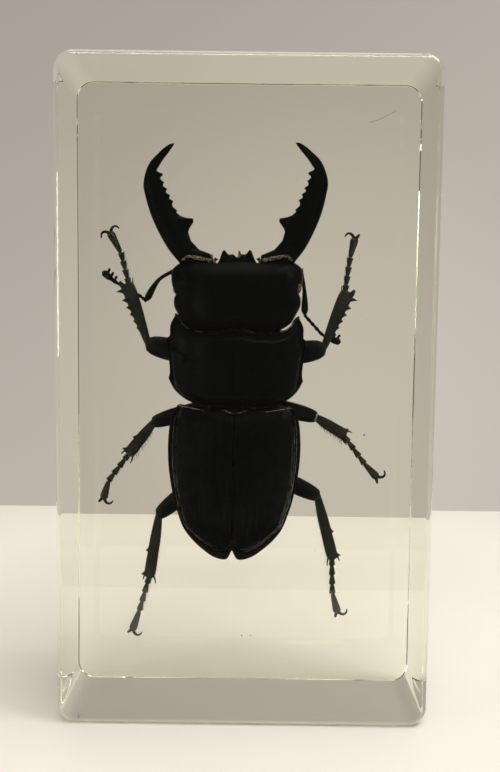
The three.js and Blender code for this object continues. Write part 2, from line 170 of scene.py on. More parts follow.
def roll_ends(t: Array, power: int) -> Array:
    """Gives the thickness of a roll that closes where t nears -1 and 1."""
    return np.sqrt(np.clip(1 - t**power, 0.02, 1))


def soft_min(a: Array, b: Array, sharpness: float = 2.2) -> Array:
    """Gives the smaller of two distances, blended where they meet, and never under 0."""
    blend = -np.log(np.exp(-sharpness * a) + np.exp(-sharpness * b)) / sharpness
    return np.clip(blend, 0, None)


def dome(across: Array, v: Array, tail: float, nose: float) -> Array:
    """Gives how far a plate stands over its rim, from 0 to 1.

    Args:
        across: The place from the plate's middle line, 0, to its side, 1.
        v: The place from its hind end, 0, to its front end, 1.
        tail: The share of the length over which the hind end rises.
        nose: The share over which the front end falls.

    Returns:
        The share of the plate's height.
    """
    crown = np.clip(1 - across**2.6, 0, 1) ** 0.6
    return crown * swell(v / tail) * (1 - 0.2 * (1 - swell((1 - v) / nose)))


Edge = Callable[[Array], Array]


def plate_grid(columns: int, rows: int, width: Edge, hind: Edge, front: Edge) -> tuple[Array, ...]:
    """Lays a grid over a plate, closer towards its sides.

    Args:
        columns: Points across.
        rows: Points along.
        width: Half the plate's width, by the place along it.
        hind: The Z of its hind edge, by the place out to the side.
        front: The Z of its front edge.

    Returns:
        Each point's place out to the side and along, from 0 to 1, its X and its Z.
    """
    u = np.sin(np.linspace(-math.pi / 2, math.pi / 2, columns))[:, None]
    v = np.linspace(0, 1, rows)[None, :]
    x = u * width(v)
    across = np.abs(u)
    return np.broadcast_to(across, x.shape), v, x, lerp(hind(across), front(across), v)


# Meshes


@dataclass
class Shape:
    """Points and faces in millimetres that grow into one mesh."""

    points: list[Array] = field(default_factory=list)
    faces: list[tuple[int, ...]] = field(default_factory=list)
    thin: list[Array] = field(default_factory=list)

    def add(self, points: Array, faces: Sequence[tuple[int, ...]], thin: Array | float = 0.0) -> Shape:
        """Adds a closed form.

        Args:
            points: Its corners, one row each.
            faces: Its faces, which count from its own first corner.
            thin: How thin and brown the shell is at each corner, from 0 to 1.

        Returns:
            The whole shape.
        """
        start = sum(len(block) for block in self.points)
        self.points.append(points)
        self.faces.extend(tuple(start + i for i in face) for face in faces)
        self.thin.append(np.broadcast_to(thin, len(points)).astype(float))
        return self

    def add_sheets(self, top: Array, under: Array, bead: float, thin: Array | float = 0.0) -> Shape:
        """Adds a shell between two sheets of the same squares, closed by a rounded rim.

        Args:
            top: The outer sheet's points, by column and row.
            under: The inner sheet's points, by column and row.
            bead: How far the rim stands out beyond the sheets.
            thin: How thin the shell is at each point of a sheet.

        Returns:
            The whole shape.
        """
        columns, rows = top.shape[:2]
        count = columns * rows
        index = np.arange(count).reshape(columns, rows)
        ring = np.concatenate([index[:, 0], index[-1, 1:], index[-2::-1, -1], index[0, -2:0:-1]])
        flat_top, flat_under = top.reshape(-1, 3), under.reshape(-1, 3)
        edge = (flat_top[ring] + flat_under[ring]) / 2
        along = np.roll(edge, -1, 0) - np.roll(edge, 1, 0)
        area = np.sum(edge[:, 0] * np.roll(edge[:, 2], -1) - np.roll(edge[:, 0], -1) * edge[:, 2])
        out = np.stack([along[:, 2], np.zeros(len(ring)), -along[:, 0]], 1) * np.sign(area)
        out /= np.maximum(np.linalg.norm(out, axis=1, keepdims=True), 1e-9)
        quads = [
            (index[i, j], index[i + 1, j], index[i + 1, j + 1], index[i, j + 1])
            for i in range(columns - 1)
            for j in range(rows - 1)
        ]
        rim = 2 * count + np.arange(len(ring))
        sides = []
        for here, there, a, b in zip(ring, np.roll(ring, -1), rim, np.roll(rim, -1)):
            sides += [(here, there, b, a), (a, b, count + there, count + here)]
        faces = [*quads, *(tuple(count + i for i in reversed(quad)) for quad in quads), *sides]
        thin = np.broadcast_to(thin, (columns, rows)).reshape(-1)
        points = np.vstack([flat_top, flat_under, edge + out * bead])
        return self.add(points, faces, np.concatenate([thin, thin, thin[ring]]))

    def add_rings(self, rings: Array, thin: Array | float = 0.0) -> Shape:
        """Adds a form made of closed rings, each joined to the next, with a pole at both ends.

        Args:
            rings: The points, by ring and place on the ring.
            thin: How thin the shell is on each ring.

        Returns:
            The whole shape.
        """
        count, sides = rings.shape[:2]
        index = np.arange(count * sides).reshape(count, sides)
        steps = [(i, (i + 1) % sides) for i in range(sides)]
        faces = [
            (index[k, i], index[k, n], index[k + 1, n], index[k + 1, i])
            for k in range(count - 1)
            for i, n in steps
        ]
        faces += [(count * sides, index[0, n], index[0, i]) for i, n in steps]
        faces += [(count * sides + 1, index[-1, i], index[-1, n]) for i, n in steps]
        thin = np.broadcast_to(thin, count)
        points = np.vstack([rings.reshape(-1, 3), rings[[0, -1]].mean(axis=1)])
        return self.add(points, faces, np.concatenate([np.repeat(thin, sides), thin[[0, -1]]]))

    def join(self, other: Shape) -> Shape:
        """Adds another shape, thick all over."""
        return self.add(np.vstack(other.points), other.faces)

    def mirrored(self) -> Shape:
        """Gives the same form on the other side of the beetle."""
        flip = np.array([-1, 1, 1])
        faces = [tuple(reversed(face)) for face in self.faces]
        return Shape([block * flip for block in self.points], faces, list(self.thin))


def make_object(name: str, mesh: bpy.types.Mesh, material: bpy.types.Material) -> bpy.types.Object:
    """Links a new object that shows a mesh in one material.

    Args:
        name: The object's name.
        mesh: Its mesh.
        material: Its only material.

    Returns:
        The object.
    """
    piece = bpy.data.objects.new(name, mesh)
    bpy.context.scene.collection.objects.link(piece)
    piece.data.materials.clear()
    piece.data.materials.append(material)
    return piece


def ride(piece: bpy.types.Object, replaces: Sequence[str] = ()) -> bpy.types.Object:
    """Puts a finished piece on the frame.

    Args:
        piece: The piece.
        replaces: The nodes that it stands for.

    Returns:
        The same piece.
    """
    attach(piece, "root")
    if replaces:
        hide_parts(*replaces)
    log.info("%s: %d faces", piece.name, len(piece.data.polygons))
    return piece


def make_piece(
    name: str, shape: Shape, place: Matrix, finish: Finish, replaces: Sequence[str] = ()
) -> bpy.types.Object:
    """Makes a smooth piece from a shape and puts it on the frame.

    Args:
        name: The piece's name.
        shape: Its form in millimetres.
        place: The frame that the form is drawn in.
        finish: Its finish.
        replaces: The nodes that it stands for.

    Returns:
        The new object.
    """
    points = np.vstack(shape.points)
    turned = points @ np.array(place.to_3x3()).T + np.array(place.translation)
    mesh = bpy.data.meshes.new(name)
    mesh.from_pydata(turned.tolist(), [], [tuple(int(i) for i in face) for face in shape.faces])
    thin = mesh.attributes.new("thin", "FLOAT", "POINT")
    thin.data.foreach_set("value", np.concatenate(shape.thin).astype(np.float32))
    tidy = bmesh.new()
    tidy.from_mesh(mesh)
    bmesh.ops.remove_doubles(tidy, verts=tidy.verts, dist=2e-7)
    bmesh.ops.dissolve_degenerate(tidy, edges=tidy.edges, dist=1e-8)
    bmesh.ops.recalc_face_normals(tidy, faces=tidy.faces)
    tidy.to_mesh(mesh)
    tidy.free()
    mesh.shade_smooth()
    return ride(make_object(name, mesh, finish.material), replaces)


def heading(start: Sequence[float], end: Sequence[float], side: Side) -> tuple[Array, Array]:
    """Gives the way from one place to the next and the way square to it that leads to a side.

    Args:
        start: The first place, as X and Z.
        end: The next place.
        side: The side of the beetle that the square way leads to.

    Returns:
        Both ways, with a length of 1.
    """
    course = np.array(end) - np.array(start)
    unit = course / np.linalg.norm(course)
    normal = np.array([-unit[1], unit[0]])
    return unit, normal if math.copysign(1, normal[0]) == side.value else -normal


def blade(
    start: Pair,
    end: Pair,
    depths: Pair,
    stations: Array,
    outer: Array,
    inner: Array,
    half_depth: Array,
    side: Side,
    outer_base: Array | None = None,
    inner_base: Array | None = None,
    fullness: float = 2.3,
    sides: int = 20,
) -> Array:
    """Gives the rings of a flat bar along a straight axis, with teeth drawn out of its edges.

    Args:
        start: Where the axis starts, as X and Z.
        end: Where the axis ends.
        depths: The middle's Y at both ends.
        stations: Shares of the way along the axis, one for each ring.
        outer: How far the outer edge lies from the axis at each station.
        inner: How far the inner edge lies from it, on the other side.
        half_depth: Half the bar's thickness at each station.
        side: The side of the beetle that the outer edge faces.
        outer_base: The outer edge without its teeth, or None where it has none.
        inner_base: The inner edge without its teeth.
        fullness: How square the section is; 2 is an ellipse.
        sides: How many points a ring has.

    Returns:
        The rings' points.
    """
    outer_base = outer if outer_base is None else outer_base
    inner_base = inner if inner_base is None else inner_base
    _, normal = heading(start, end, side)
    angle = np.linspace(0, 2 * math.pi, sides, endpoint=False)
    across_unit, deep_unit = (
        np.sign(part) * np.abs(part) ** (2 / fullness) for part in (np.cos(angle), np.sin(angle))
    )
    base = np.where(across_unit > 0, outer_base[:, None], inner_base[:, None])
    edge = np.where(across_unit > 0, outer[:, None], inner[:, None])
    pull = ease((np.abs(across_unit) - 0.72) / 0.28)
    across = across_unit * (base + (edge - base) * pull)
    centre = np.array(start) + stations[:, None] * (np.array(end) - np.array(start))
    flat = centre[:, None, :] + across[..., None] * normal
    y = lerp(depths[0], depths[1], stations)[:, None] + deep_unit * half_depth[:, None]
    return np.stack([flat[..., 0], y, flat[..., 1]], axis=2)


def tube(path: Array, radii: Array | float, sides: int = 12, flat: float = 1.0) -> Array:
    """Gives the rings of a round or flattened rod along a path.

    Args:
        path: The middle's points.
        radii: The radius at each point.
        sides: How many points a ring has.
        flat: The share of the radius that the rod has along Y.

    Returns:
        The rings' points.
    """
    tangent = np.gradient(path, axis=0)
    tangent /= np.maximum(np.linalg.norm(tangent, axis=1, keepdims=True), 1e-9)
    deep = np.array([0.0, 1.0, 0.0]) - tangent * tangent[:, 1:2]
    deep /= np.maximum(np.linalg.norm(deep, axis=1, keepdims=True), 1e-9)
    wide = np.cross(tangent, deep)
    angle = np.linspace(0, 2 * math.pi, sides, endpoint=False)
    ring = np.cos(angle)[None, :, None] * wide[:, None, :]
    ring = ring + np.sin(angle)[None, :, None] * deep[:, None, :] * flat
    return path[:, None, :] + ring * np.broadcast_to(radii, len(path))[:, None, None]


def bend(points: Sequence[Sequence[float]], steps: int = 10) -> Array:
    """Gives a smooth path through the points.

    Args:
        points: The points that it passes.
        steps: How many steps it takes from one to the next.

    Returns:
        The path's points.
    """
    places = np.arange(len(points))
    fine = np.linspace(0, len(points) - 1, (len(points) - 1) * steps + 1)
    columns = np.array(points, float).T
    return np.stack([Profile(*zip(places, column))(fine) for column in columns], axis=1)


def ball(centre: Sequence[float], size: Triple, rings: int = 16, sides: int = 24) -> Array:
    """Gives the rings of an egg with its poles along Z.

    Args:
        centre: Its middle.
        size: Its half sizes along X, Y and Z.
        rings: How many rings it has.
        sides: How many points a ring has.

    Returns:
        The rings' points.
    """
    rise = np.linspace(-math.pi / 2 + 0.05, math.pi / 2 - 0.05, rings)
    turn = np.linspace(0, 2 * math.pi, sides, endpoint=False)
    x = np.cos(rise)[:, None] * np.cos(turn) * size[0]
    y = np.cos(rise)[:, None] * np.sin(turn) * size[1]
    z = np.repeat(np.sin(rise)[:, None], sides, axis=1) * size[2]
    return np.stack([x, y, z], axis=2) + np.array(centre)


# Finishes


class NodeSheet:
    """Adds and links the nodes of one tree."""

    def __init__(self, tree: bpy.types.NodeTree) -> None:
        """Empties the tree that is filled."""
        self.tree = tree
        tree.nodes.clear()

    def add(self, kind: str, inputs: dict | None = None, **settings: object) -> bpy.types.Node:
        """Adds a node.

        Args:
            kind: The node's type.
            inputs: Values or other nodes' sockets, by the input's name or number.
            settings: The node's own properties.

        Returns:
            The node.
        """
        node = self.tree.nodes.new(kind)
        for name, value in settings.items():
            setattr(node, name, value)
        for key, value in (inputs or {}).items():
            if isinstance(value, Socket):
                self.tree.links.new(value, node.inputs[key])
            else:
                node.inputs[key].default_value = value
        return node

    def ramp(self, factor: Socket, *stops: tuple[float, Triple]) -> Socket:
        """Turns a factor into a colour through two stops.

        Args:
            factor: The factor.
            stops: Each the factor at which it lies, and its colour.

        Returns:
            The colour.
        """
        node = self.add("ShaderNodeValToRGB", {0: factor})
        for element, (place, colour) in zip(node.color_ramp.elements, stops):
            element.position, element.color = place, (*colour, 1)
        return node.outputs[0]

    def span(self, value: Socket, low: float, high: float, *to: float) -> Socket:
        """Maps a value between low and high on to the two given numbers."""
        return self.add("ShaderNodeMapRange", {0: value, 1: low, 2: high, 3: to[0], 4: to[1]}).outputs[0]

    def reckon(self, operation: str, a: Socket, b: Socket) -> Socket:
        """Adds or multiplies two values."""
        return self.add("ShaderNodeMath", {0: a, 1: b}, operation=operation).outputs[0]

    def noise(self, place: Socket, scale: float, detail: float) -> Socket:
        """Gives soft clouds, so many to the millimetre."""
        inputs = {"Vector": place, "Scale": scale / MM, "Detail": detail}
        return self.add("ShaderNodeTexNoise", inputs).outputs[0]

    def bump(self, height: Socket, strength: float, deep: float, under: Socket | None = None) -> Socket:
        """Turns the surface as a relief does.

        Args:
            height: The relief, from 0 to 1.
            strength: How strongly it shows.
            deep: How many millimetres deep it is.
            under: The relief under it, or None.

        Returns:
            The turned normal.
        """
        inputs = {"Height": height, "Strength": strength, "Distance": deep * MM}
        if under is not None:
            inputs["Normal"] = under
        return self.add("ShaderNodeBump", inputs).outputs[0]

    def surface(self, inputs: dict) -> Socket:
        """Adds the surface shader."""
        return self.add("ShaderNodeBsdfPrincipled", inputs).outputs[0]


@dataclass(frozen=True)
class Finish:
    """What every finish has.

    Attributes:
        name: The material's name.
        slot: The record's slot, or None for what isn't part of the piece. Not used.
    """

    name: str
    slot: Slot | None

    def nodes(self, sheet: NodeSheet, place: Socket) -> tuple[Socket, ...]:
        """Adds the finish's own nodes.

        Args:
            sheet: The tree that the nodes are added to.
            place: The place in the object.

        Returns:
            The surface, and the volume where it has one.
        """
        raise NotImplementedError

    @cached_property
    def material(self) -> bpy.types.Material:
        """The node material, made once."""
        material = bpy.data.materials.new(self.name)
        material.use_nodes = True
        sheet = NodeSheet(material.node_tree)
        place = sheet.add("ShaderNodeTexCoord").outputs["Object"]
        sheet.add("ShaderNodeOutputMaterial", dict(enumerate(self.nodes(sheet, place))))
        return material


@dataclass(frozen=True)
class CuticleFinish(Finish):
    """Insect shell: black, pitted, browner where it is thin.

    Attributes:
        dark: The ground colour.
        bloom: The faintly greyer colour of its clouds.
        brown: The colour of thin rims and tips.
        roughness: The smoothest and the dullest roughness.
        pits: Pits per millimetre.
        pit_depth: How deep they are, in millimetres.
        coat: The weight of the gloss on top.
        sheen: The specular level.
    """

    dark: Triple = (0.0026, 0.0038, 0.0040)
    bloom: Triple = (0.0036, 0.0050, 0.0052)
    brown: Triple = (0.052, 0.026, 0.012)
    roughness: Pair = (0.26, 0.36)
    pits: float = 5.0
    pit_depth: float = 0.012
    coat: float = 0.006
    sheen: float = 0.022

    def nodes(self, sheet: NodeSheet, place: Socket) -> tuple[Socket, ...]:
        """Adds the nodes.

        Args:
            sheet: The tree that the nodes are added to.
            place: The place in the object.

        Returns:
            The surface, and the volume where it has one.
        """
        clouds, grain = sheet.noise(place, 0.45, 4.0), sheet.noise(place, 6, 3.0)
        cells = {"Vector": place, "Scale": self.pits / MM}
        pits = sheet.add("ShaderNodeTexVoronoi", cells).outputs["Distance"]
        thin = sheet.add("ShaderNodeAttribute", attribute_name="thin").outputs["Fac"]
        share = sheet.span(sheet.reckon("MULTIPLY", thin, grain), 0.1, 0.75, 0.0, 1.0)
        ground = sheet.ramp(clouds, (0.35, self.dark), (0.75, self.bloom))
        blend = {0: share, 6: ground, 7: (*self.brown, 1)}
        pitted = sheet.bump(sheet.span(pits, 0.0, 0.35, 0.0, 1.0), 0.5, self.pit_depth)
        inputs = {
            "Base Color": sheet.add("ShaderNodeMix", blend, data_type="RGBA").outputs[2],
            "Roughness": sheet.span(clouds, 0.3, 0.7, *self.roughness),
            "Normal": sheet.bump(grain, 0.35, 0.01, pitted),
            "Specular IOR Level": self.sheen,
            "Coat Weight": self.coat,
            "Coat Roughness": 0.12,
        }
        return (sheet.surface(inputs),)


@dataclass(frozen=True)
class MembraneFinish(Finish):
    """Dried skin between the plates: pale horn with brown creases.

    Attributes:
        pale: The colour of its stretched places.
        stain: The colour of its creases.
        crease: Creases per millimetre.
        pale_from: Where the pale places start, out of the crease pattern's 0 to 1.
        passing: The weight of the light that passes through it.
    """

    pale: Triple = (0.44, 0.40, 0.27)
    stain: Triple = (0.02, 0.015, 0.009)
    crease: float = 3.6
    pale_from: float = 0.46
    passing: float = 0.25

    def nodes(self, sheet: NodeSheet, place: Socket) -> tuple[Socket, ...]:
        """Adds the nodes.

        Args:
            sheet: The tree that the nodes are added to.
            place: The place in the object.

        Returns:
            The surface, and the volume where it has one.
        """
        folds = sheet.noise(place, self.crease, 5.0)
        inputs = {
            "Base Color": sheet.ramp(folds, (self.pale_from, self.stain), (self.pale_from + 0.16, self.pale)),
            "Roughness": 0.42,
            "Normal": sheet.bump(folds, 0.6, 0.06),
            "Transmission Weight": self.passing,
        }
        return (sheet.surface(inputs),)


@dataclass(frozen=True)
class ResinFinish(Finish):
    """Polished clear casting resin with a faint warm tint.

    Attributes:
        ior: How strongly it bends light.
        tint: The colour that light keeps on its way through.
        density: How fast it loses the rest, per metre.
    """

    ior: float = 1.55
    tint: Triple = (0.87, 0.94, 0.5)
    density: float = 7.0

    def nodes(self, sheet: NodeSheet, place: Socket) -> tuple[Socket, ...]:
        """Adds the nodes.

        Args:
            sheet: The tree that the nodes are added to.
            place: The place in the object.

        Returns:
            The surface, and the volume where it has one.
        """
        inputs = {
            "Base Color": (1, 1, 1, 1),
            "Roughness": 0.0,
            "IOR": self.ior,
            "Transmission Weight": 1.0,
            "Normal": sheet.bump(sheet.noise(place, 0.03, 1.0), 0.12, 0.05),
        }
        inside = sheet.add("ShaderNodeVolumeAbsorption", {"Color": (*self.tint, 1), "Density": self.density})
        return sheet.surface(inputs), inside.outputs[0]


@dataclass(frozen=True)
class SpeckleFinish(Finish):
    """A plain finish of two near colours in soft clouds, for eyes, hair, dust and the table.

    Attributes:
        colour: The main colour.
        cloud: The colour of its clouds.
        scale: Clouds per millimetre.
        roughness: The roughness, the same all over.
        relief: The height of its grain in millimetres.
    """

    colour: Triple
    cloud: Triple
    scale: float
    roughness: float
    relief: float = 0.0

    def nodes(self, sheet: NodeSheet, place: Socket) -> tuple[Socket, ...]:
        """Adds the nodes.

        Args:
            sheet: The tree that the nodes are added to.
            place: The place in the object.

        Returns:
            The surface, and the volume where it has one.
        """
        clouds = sheet.noise(place, self.scale, 3.0)
        colour = sheet.ramp(clouds, (0.3, self.colour), (0.7, self.cloud))
        inputs = {"Base Color": colour, "Roughness": self.roughness}
        if self.relief:
            cells = sheet.add("ShaderNodeTexVoronoi", {"Vector": place, "Scale": 4 * self.scale / MM})
            inputs["Normal"] = sheet.bump(cells.outputs[0], 0.8, self.relief)
        return (sheet.surface(inputs),)


SHELL = CuticleFinish("pitted_black_shell", Slot.CUTICLE)
WING = CuticleFinish("wing_case_shell", Slot.CUTICLE, pits=3.2, pit_depth=0.006, roughness=(0.2, 0.34))
LIMB = CuticleFinish(
    "limb_shell", Slot.LIMB, (0.0065, 0.0085, 0.009), (0.012, 0.0145, 0.0145), (0.066, 0.062, 0.055),
    pits=4.0, sheen=0.06,
)
FOOT = CuticleFinish(
    "foot_shell", Slot.LIMB, (0.046, 0.042, 0.036), (0.072, 0.062, 0.050), pits=6.0, sheen=0.08
)
BELLY = CuticleFinish(
    "underside_shell", Slot.UNDERSIDE, (0.006, 0.0045, 0.0035), (0.02, 0.013, 0.008), pits=3.6, pit_depth=0.01
)
SKIN = MembraneFinish("joint_skin", Slot.UNDERSIDE)
FOLD = MembraneFinish(
    "fold_skin", Slot.UNDERSIDE, (0.09, 0.075, 0.05), (0.004, 0.0035, 0.003), 0.9, 0.56, 0.0
)
# Pale diffuse colour that paints the silvery glint of thin air gaps between insect and resin: a painted
# highlight.
GLINT_FILM = SpeckleFinish("parted_film", Slot.CUTICLE, (0.05, 0.053, 0.053), (0.55, 0.54, 0.49), 0.9, 0.3)
EYE = SpeckleFinish("eye", Slot.LIMB, (0.05, 0.020, 0.010), (0.34, 0.12, 0.04), 1.4, 0.25, 0.02)
HAIR = SpeckleFinish("brown_hair", Slot.LIMB, (0.045, 0.020, 0.008), (0.16, 0.075, 0.03), 1.5, 0.45)
RESIN = ResinFinish("clear_casting_resin", Slot.RESIN)
DUST = SpeckleFinish("dust_speck", Slot.LIMB, (0.03, 0.025, 0.018), (0.10, 0.085, 0.06), 3.0, 0.8)
TABLE = SpeckleFinish("table_top", None, (0.81, 0.775, 0.715), (0.85, 0.815, 0.755), 0.01, 0.7)


# What repeats along a guide


class Unit(Enum):
    """The small form that is set at each point of a guide, drawn along +Z with a length of 1.

    Each is a cone: its corners, its side's segments, its upper and its lower radius.
    """

    BELL = (10, 4, 1.0, 0.46)
    BRISTLE = (5, 2, 0.06, 1.0)
    LEAF = (10, 3, 0.9, 0.7)
    GRAIN = (6, 2, 0.5, 0.8)


@dataclass
class Repeats:
    """Sets one small form at each point of a guide, turned to the point's aim and cut to its size.

    Attributes:
        unit: The small form.
        stray: How far the aims stray from what the guide says.
        seed: The seed of the stray.
    """

    unit: Unit
    stray: float = 0.0
    seed: int = 7

    def _unit(self, sheet: NodeSheet) -> Socket:
        """Adds the nodes that draw the small form.

        Args:
            sheet: The tree that the nodes are added to.

        Returns:
            The form's mesh.
        """
        names = ("Vertices", "Side Segments", "Radius Top", "Radius Bottom", "Depth")
        form = sheet.add("GeometryNodeMeshCone", dict(zip(names, (*self.unit.value, 1.0)))).outputs[0]
        if self.unit is Unit.BRISTLE:
            return form
        return sheet.add("GeometryNodeSubdivisionSurface", {"Mesh": form, "Level": 1}).outputs[0]

    def _tree(self, material: bpy.types.Material) -> tuple[bpy.types.NodeTree, dict[str, str]]:
        """Builds the node tree.

        Args:
            material: The material that the forms get.

        Returns:
            The tree, and the identifiers of its inputs by name.
        """
        tree = bpy.data.node_groups.new(f"repeat_{self.unit.name.lower()}", "GeometryNodeTree")
        sheet = NodeSheet(tree)
        for way in ("INPUT", "OUTPUT"):
            tree.interface.new_socket("Geometry", in_out=way, socket_type="NodeSocketGeometry")
        named = {
            name: tree.interface.new_socket(name, in_out="INPUT", socket_type=kind).identifier
            for name, kind in (("Stray", "NodeSocketFloat"), ("Seed", "NodeSocketInt"))
        }
        given = sheet.add("NodeGroupInput").outputs
        vector = {"data_type": "FLOAT_VECTOR"}
        aim, size = (
            sheet.add("GeometryNodeInputNamedAttribute", {0: key}, **vector).outputs[0]
            for key in ("aim", "size")
        )
        limits = {0: (-1.0, -1.0, -1.0), 1: (1.0, 1.0, 1.0), "Seed": given["Seed"]}
        chance = sheet.add("FunctionNodeRandomValue", limits, **vector).outputs[0]
        scaled = {0: chance, "Scale": given["Stray"]}
        stray = sheet.add("ShaderNodeVectorMath", scaled, operation="SCALE").outputs[0]
        toward = sheet.add("ShaderNodeVectorMath", {0: aim, 1: stray}, operation="ADD").outputs[0]
        turn = sheet.add("FunctionNodeAlignRotationToVector", {"Vector": toward}, axis="Z").outputs[0]
        spots = {
            "Points": sheet.add("GeometryNodeMeshToPoints", {"Mesh": given["Geometry"]}).outputs[0],
            "Instance": self._unit(sheet),
            "Rotation": turn,
            "Scale": size,
        }
        copies = sheet.add("GeometryNodeInstanceOnPoints", spots).outputs[0]
        real = sheet.add("GeometryNodeRealizeInstances", {0: copies}).outputs[0]
        smooth = sheet.add("GeometryNodeSetShadeSmooth", {0: real}).outputs[0]
        dressed = sheet.add("GeometryNodeSetMaterial", {"Geometry": smooth, "Material": material}).outputs[0]
        sheet.add("NodeGroupOutput", {0: dressed})
        return tree, named

    def build(
        self, name: str, points: Array, aims: Array, sizes: Array, place: Matrix, finish: Finish
    ) -> bpy.types.Object:
        """Makes the repeated forms a plain mesh on the frame.

        Args:
            name: The piece's name.
            points: Where each form starts, in millimetres.
            aims: Where each points.
            sizes: Its half width, half depth and length.
            place: The frame that the points are given in.
            finish: The finish.

        Returns:
            The new object.
        """
        turn = np.array(place.to_3x3())
        guide = bpy.data.meshes.new(f"{name}_guide")
        guide.from_pydata((points @ turn.T + np.array(place.translation)).tolist(), [], [])
        for key, values in (("aim", aims @ turn.T / MM), ("size", sizes * MM)):
            stored = guide.attributes.new(key, "FLOAT_VECTOR", "POINT")
            stored.data.foreach_set("vector", values.astype(np.float32).ravel())
        holder = make_object(f"{name}_guide", guide, finish.material)
        modifier = holder.modifiers.new("repeats", "NODES")
        tree, named = self._tree(finish.material)
        modifier.node_group = tree
        for key, value in (("Stray", self.stray), ("Seed", self.seed)):
            modifier[named[key]] = value
        depsgraph = bpy.context.evaluated_depsgraph_get()
        mesh = bpy.data.meshes.new_from_object(holder.evaluated_get(depsgraph))
        mesh.name = name
        holder.modifiers.remove(modifier)
        bpy.data.objects.remove(holder)
        return ride(make_object(name, mesh, finish.material))


# The block


@dataclass
class ClearBlock:
    """The one clear casting that the two halves stand for.

    Attributes:
        width: Its size along X.
        depth: Its size along Y.
        height: Its size along Z.
        corner: The radius of its outline's corners.
        fillet: The radius of its front rim.
        back_fillet: The radius of its back rim.
        arc: Steps round a corner.
        rise: Steps round a rim.
    """

    width: float = 62.0
    depth: float = 30.0
    height: float = 110.0
    corner: float = 3.1
    fillet: float = 1.2
    back_fillet: float = 0.2
    arc: int = 20
    rise: int = 10

    def _outline(self, inset: float) -> tuple[Array, Array]:
        """Draws the block's outline.

        Args:
            inset: How far the points are moved in.

        Returns:
            The points as X and Z, and their normals.
        """
        points, normals = [], []
        for quarter, (side, top) in enumerate([(1, False), (1, True), (-1, True), (-1, False)]):
            level = self.height - self.corner if top else self.corner
            middle = (side * (self.width / 2 - self.corner), level)
            for angle in np.linspace(quarter - 1, quarter, self.arc + 1) * math.pi / 2:
                normal = (math.cos(angle), math.sin(angle))
                normals.append(normal)
                points.append([m + (self.corner - inset) * n for m, n in zip(middle, normal)])
        return np.array(points), np.array(normals)

    def build(self) -> None:
        """Makes the block and puts it in the place of the two halves."""
        rings, normals = [], []
        turns = np.linspace(0, math.pi / 2, self.rise + 1)
        for turn in [*-turns[::-1], *turns]:
            fillet = self.back_fillet if math.copysign(1, turn) > 0 else self.fillet
            points, out = self._outline(fillet * (1 - math.cos(turn)))
            y = math.copysign(self.depth / 2 - fillet, turn) + fillet * math.sin(turn)
            rings.append(np.insert(points, 1, y, axis=1))
            normals.append(np.insert(out * math.cos(turn), 1, math.sin(turn), axis=1))
        count, sides = len(rings), len(rings[0])
        steps = [(i, (i + 1) % sides) for i in range(sides)]
        starts = [(k * sides, (k + 1) * sides) for k in range(count - 1)]
        faces = [(a + i, b + i, b + n, a + n) for a, b in starts for i, n in steps]
        faces += [tuple(range(sides)), tuple(reversed(range((count - 1) * sides, count * sides)))]
        mesh = bpy.data.meshes.new("clear_block")
        mesh.from_pydata((np.vstack(rings) * MM).tolist(), [], faces)
        mesh.shade_smooth()
        mesh.normals_split_custom_set_from_vertices(np.vstack(normals).tolist())
        block = make_object("clear_block", mesh, RESIN.material)
        ride(block, ("resin_block_front", "resin_block_back"))


@dataclass
class Inclusions:
    """A stray hair and the specks of dust that were cast in with the insect.

    Attributes:
        hair: The hair's course.
        hair_radius: Its radius.
        specks: Where the specks that show lie, and how long each is.
    """

    hair: Sequence[Triple] = ((19.6, -9, 99.9), (21.0, -9.2, 100.3), (22.5, -9.4, 101.0), (23.9, -9.5, 101.7))
    hair_radius: float = 0.022
    specks: Sequence[tuple[float, float, float, float]] = (
        (-0.35, -6, 13.4, 0.36), (1.4, -6.5, 13.4, 0.3), (20.3, -3, 48.2, 0.42), (8.4, 4, 92, 0.14),
        (-12.6, -2, 83, 0.14), (-17, 5, 33, 0.16), (12.8, 7, 26, 0.18), (21, 2, 68, 0.14),
        (-22.5, -7, 60, 0.12), (3.4, 9, 104, 0.14), (-6.4, 3, 12, 0.16), (15.5, -8, 12, 0.12),
        (24, -4, 36, 0.12), (-20.5, 6, 95, 0.12), (9.1, -10, 21.5, 0.1), (-9.3, -9, 101, 0.1),
    )

    def build(self) -> None:
        """Makes the hair and the specks."""
        hair = Shape().add_rings(tube(bend(self.hair), self.hair_radius, sides=6))
        make_piece("stray_hair", hair, BLOCK_FRAME, DUST)
        places = np.array(self.specks)
        sizes = places[:, 3:] * np.array([0.45, 0.35, 1.0])
        aims = np.tile([1.0, 0.2, 0.3], (len(places), 1))
        grains = Repeats(Unit.GRAIN, stray=1.5, seed=3)
        grains.build("dust_specks", places[:, :3], aims, sizes, BLOCK_FRAME, DUST)


# The trunk


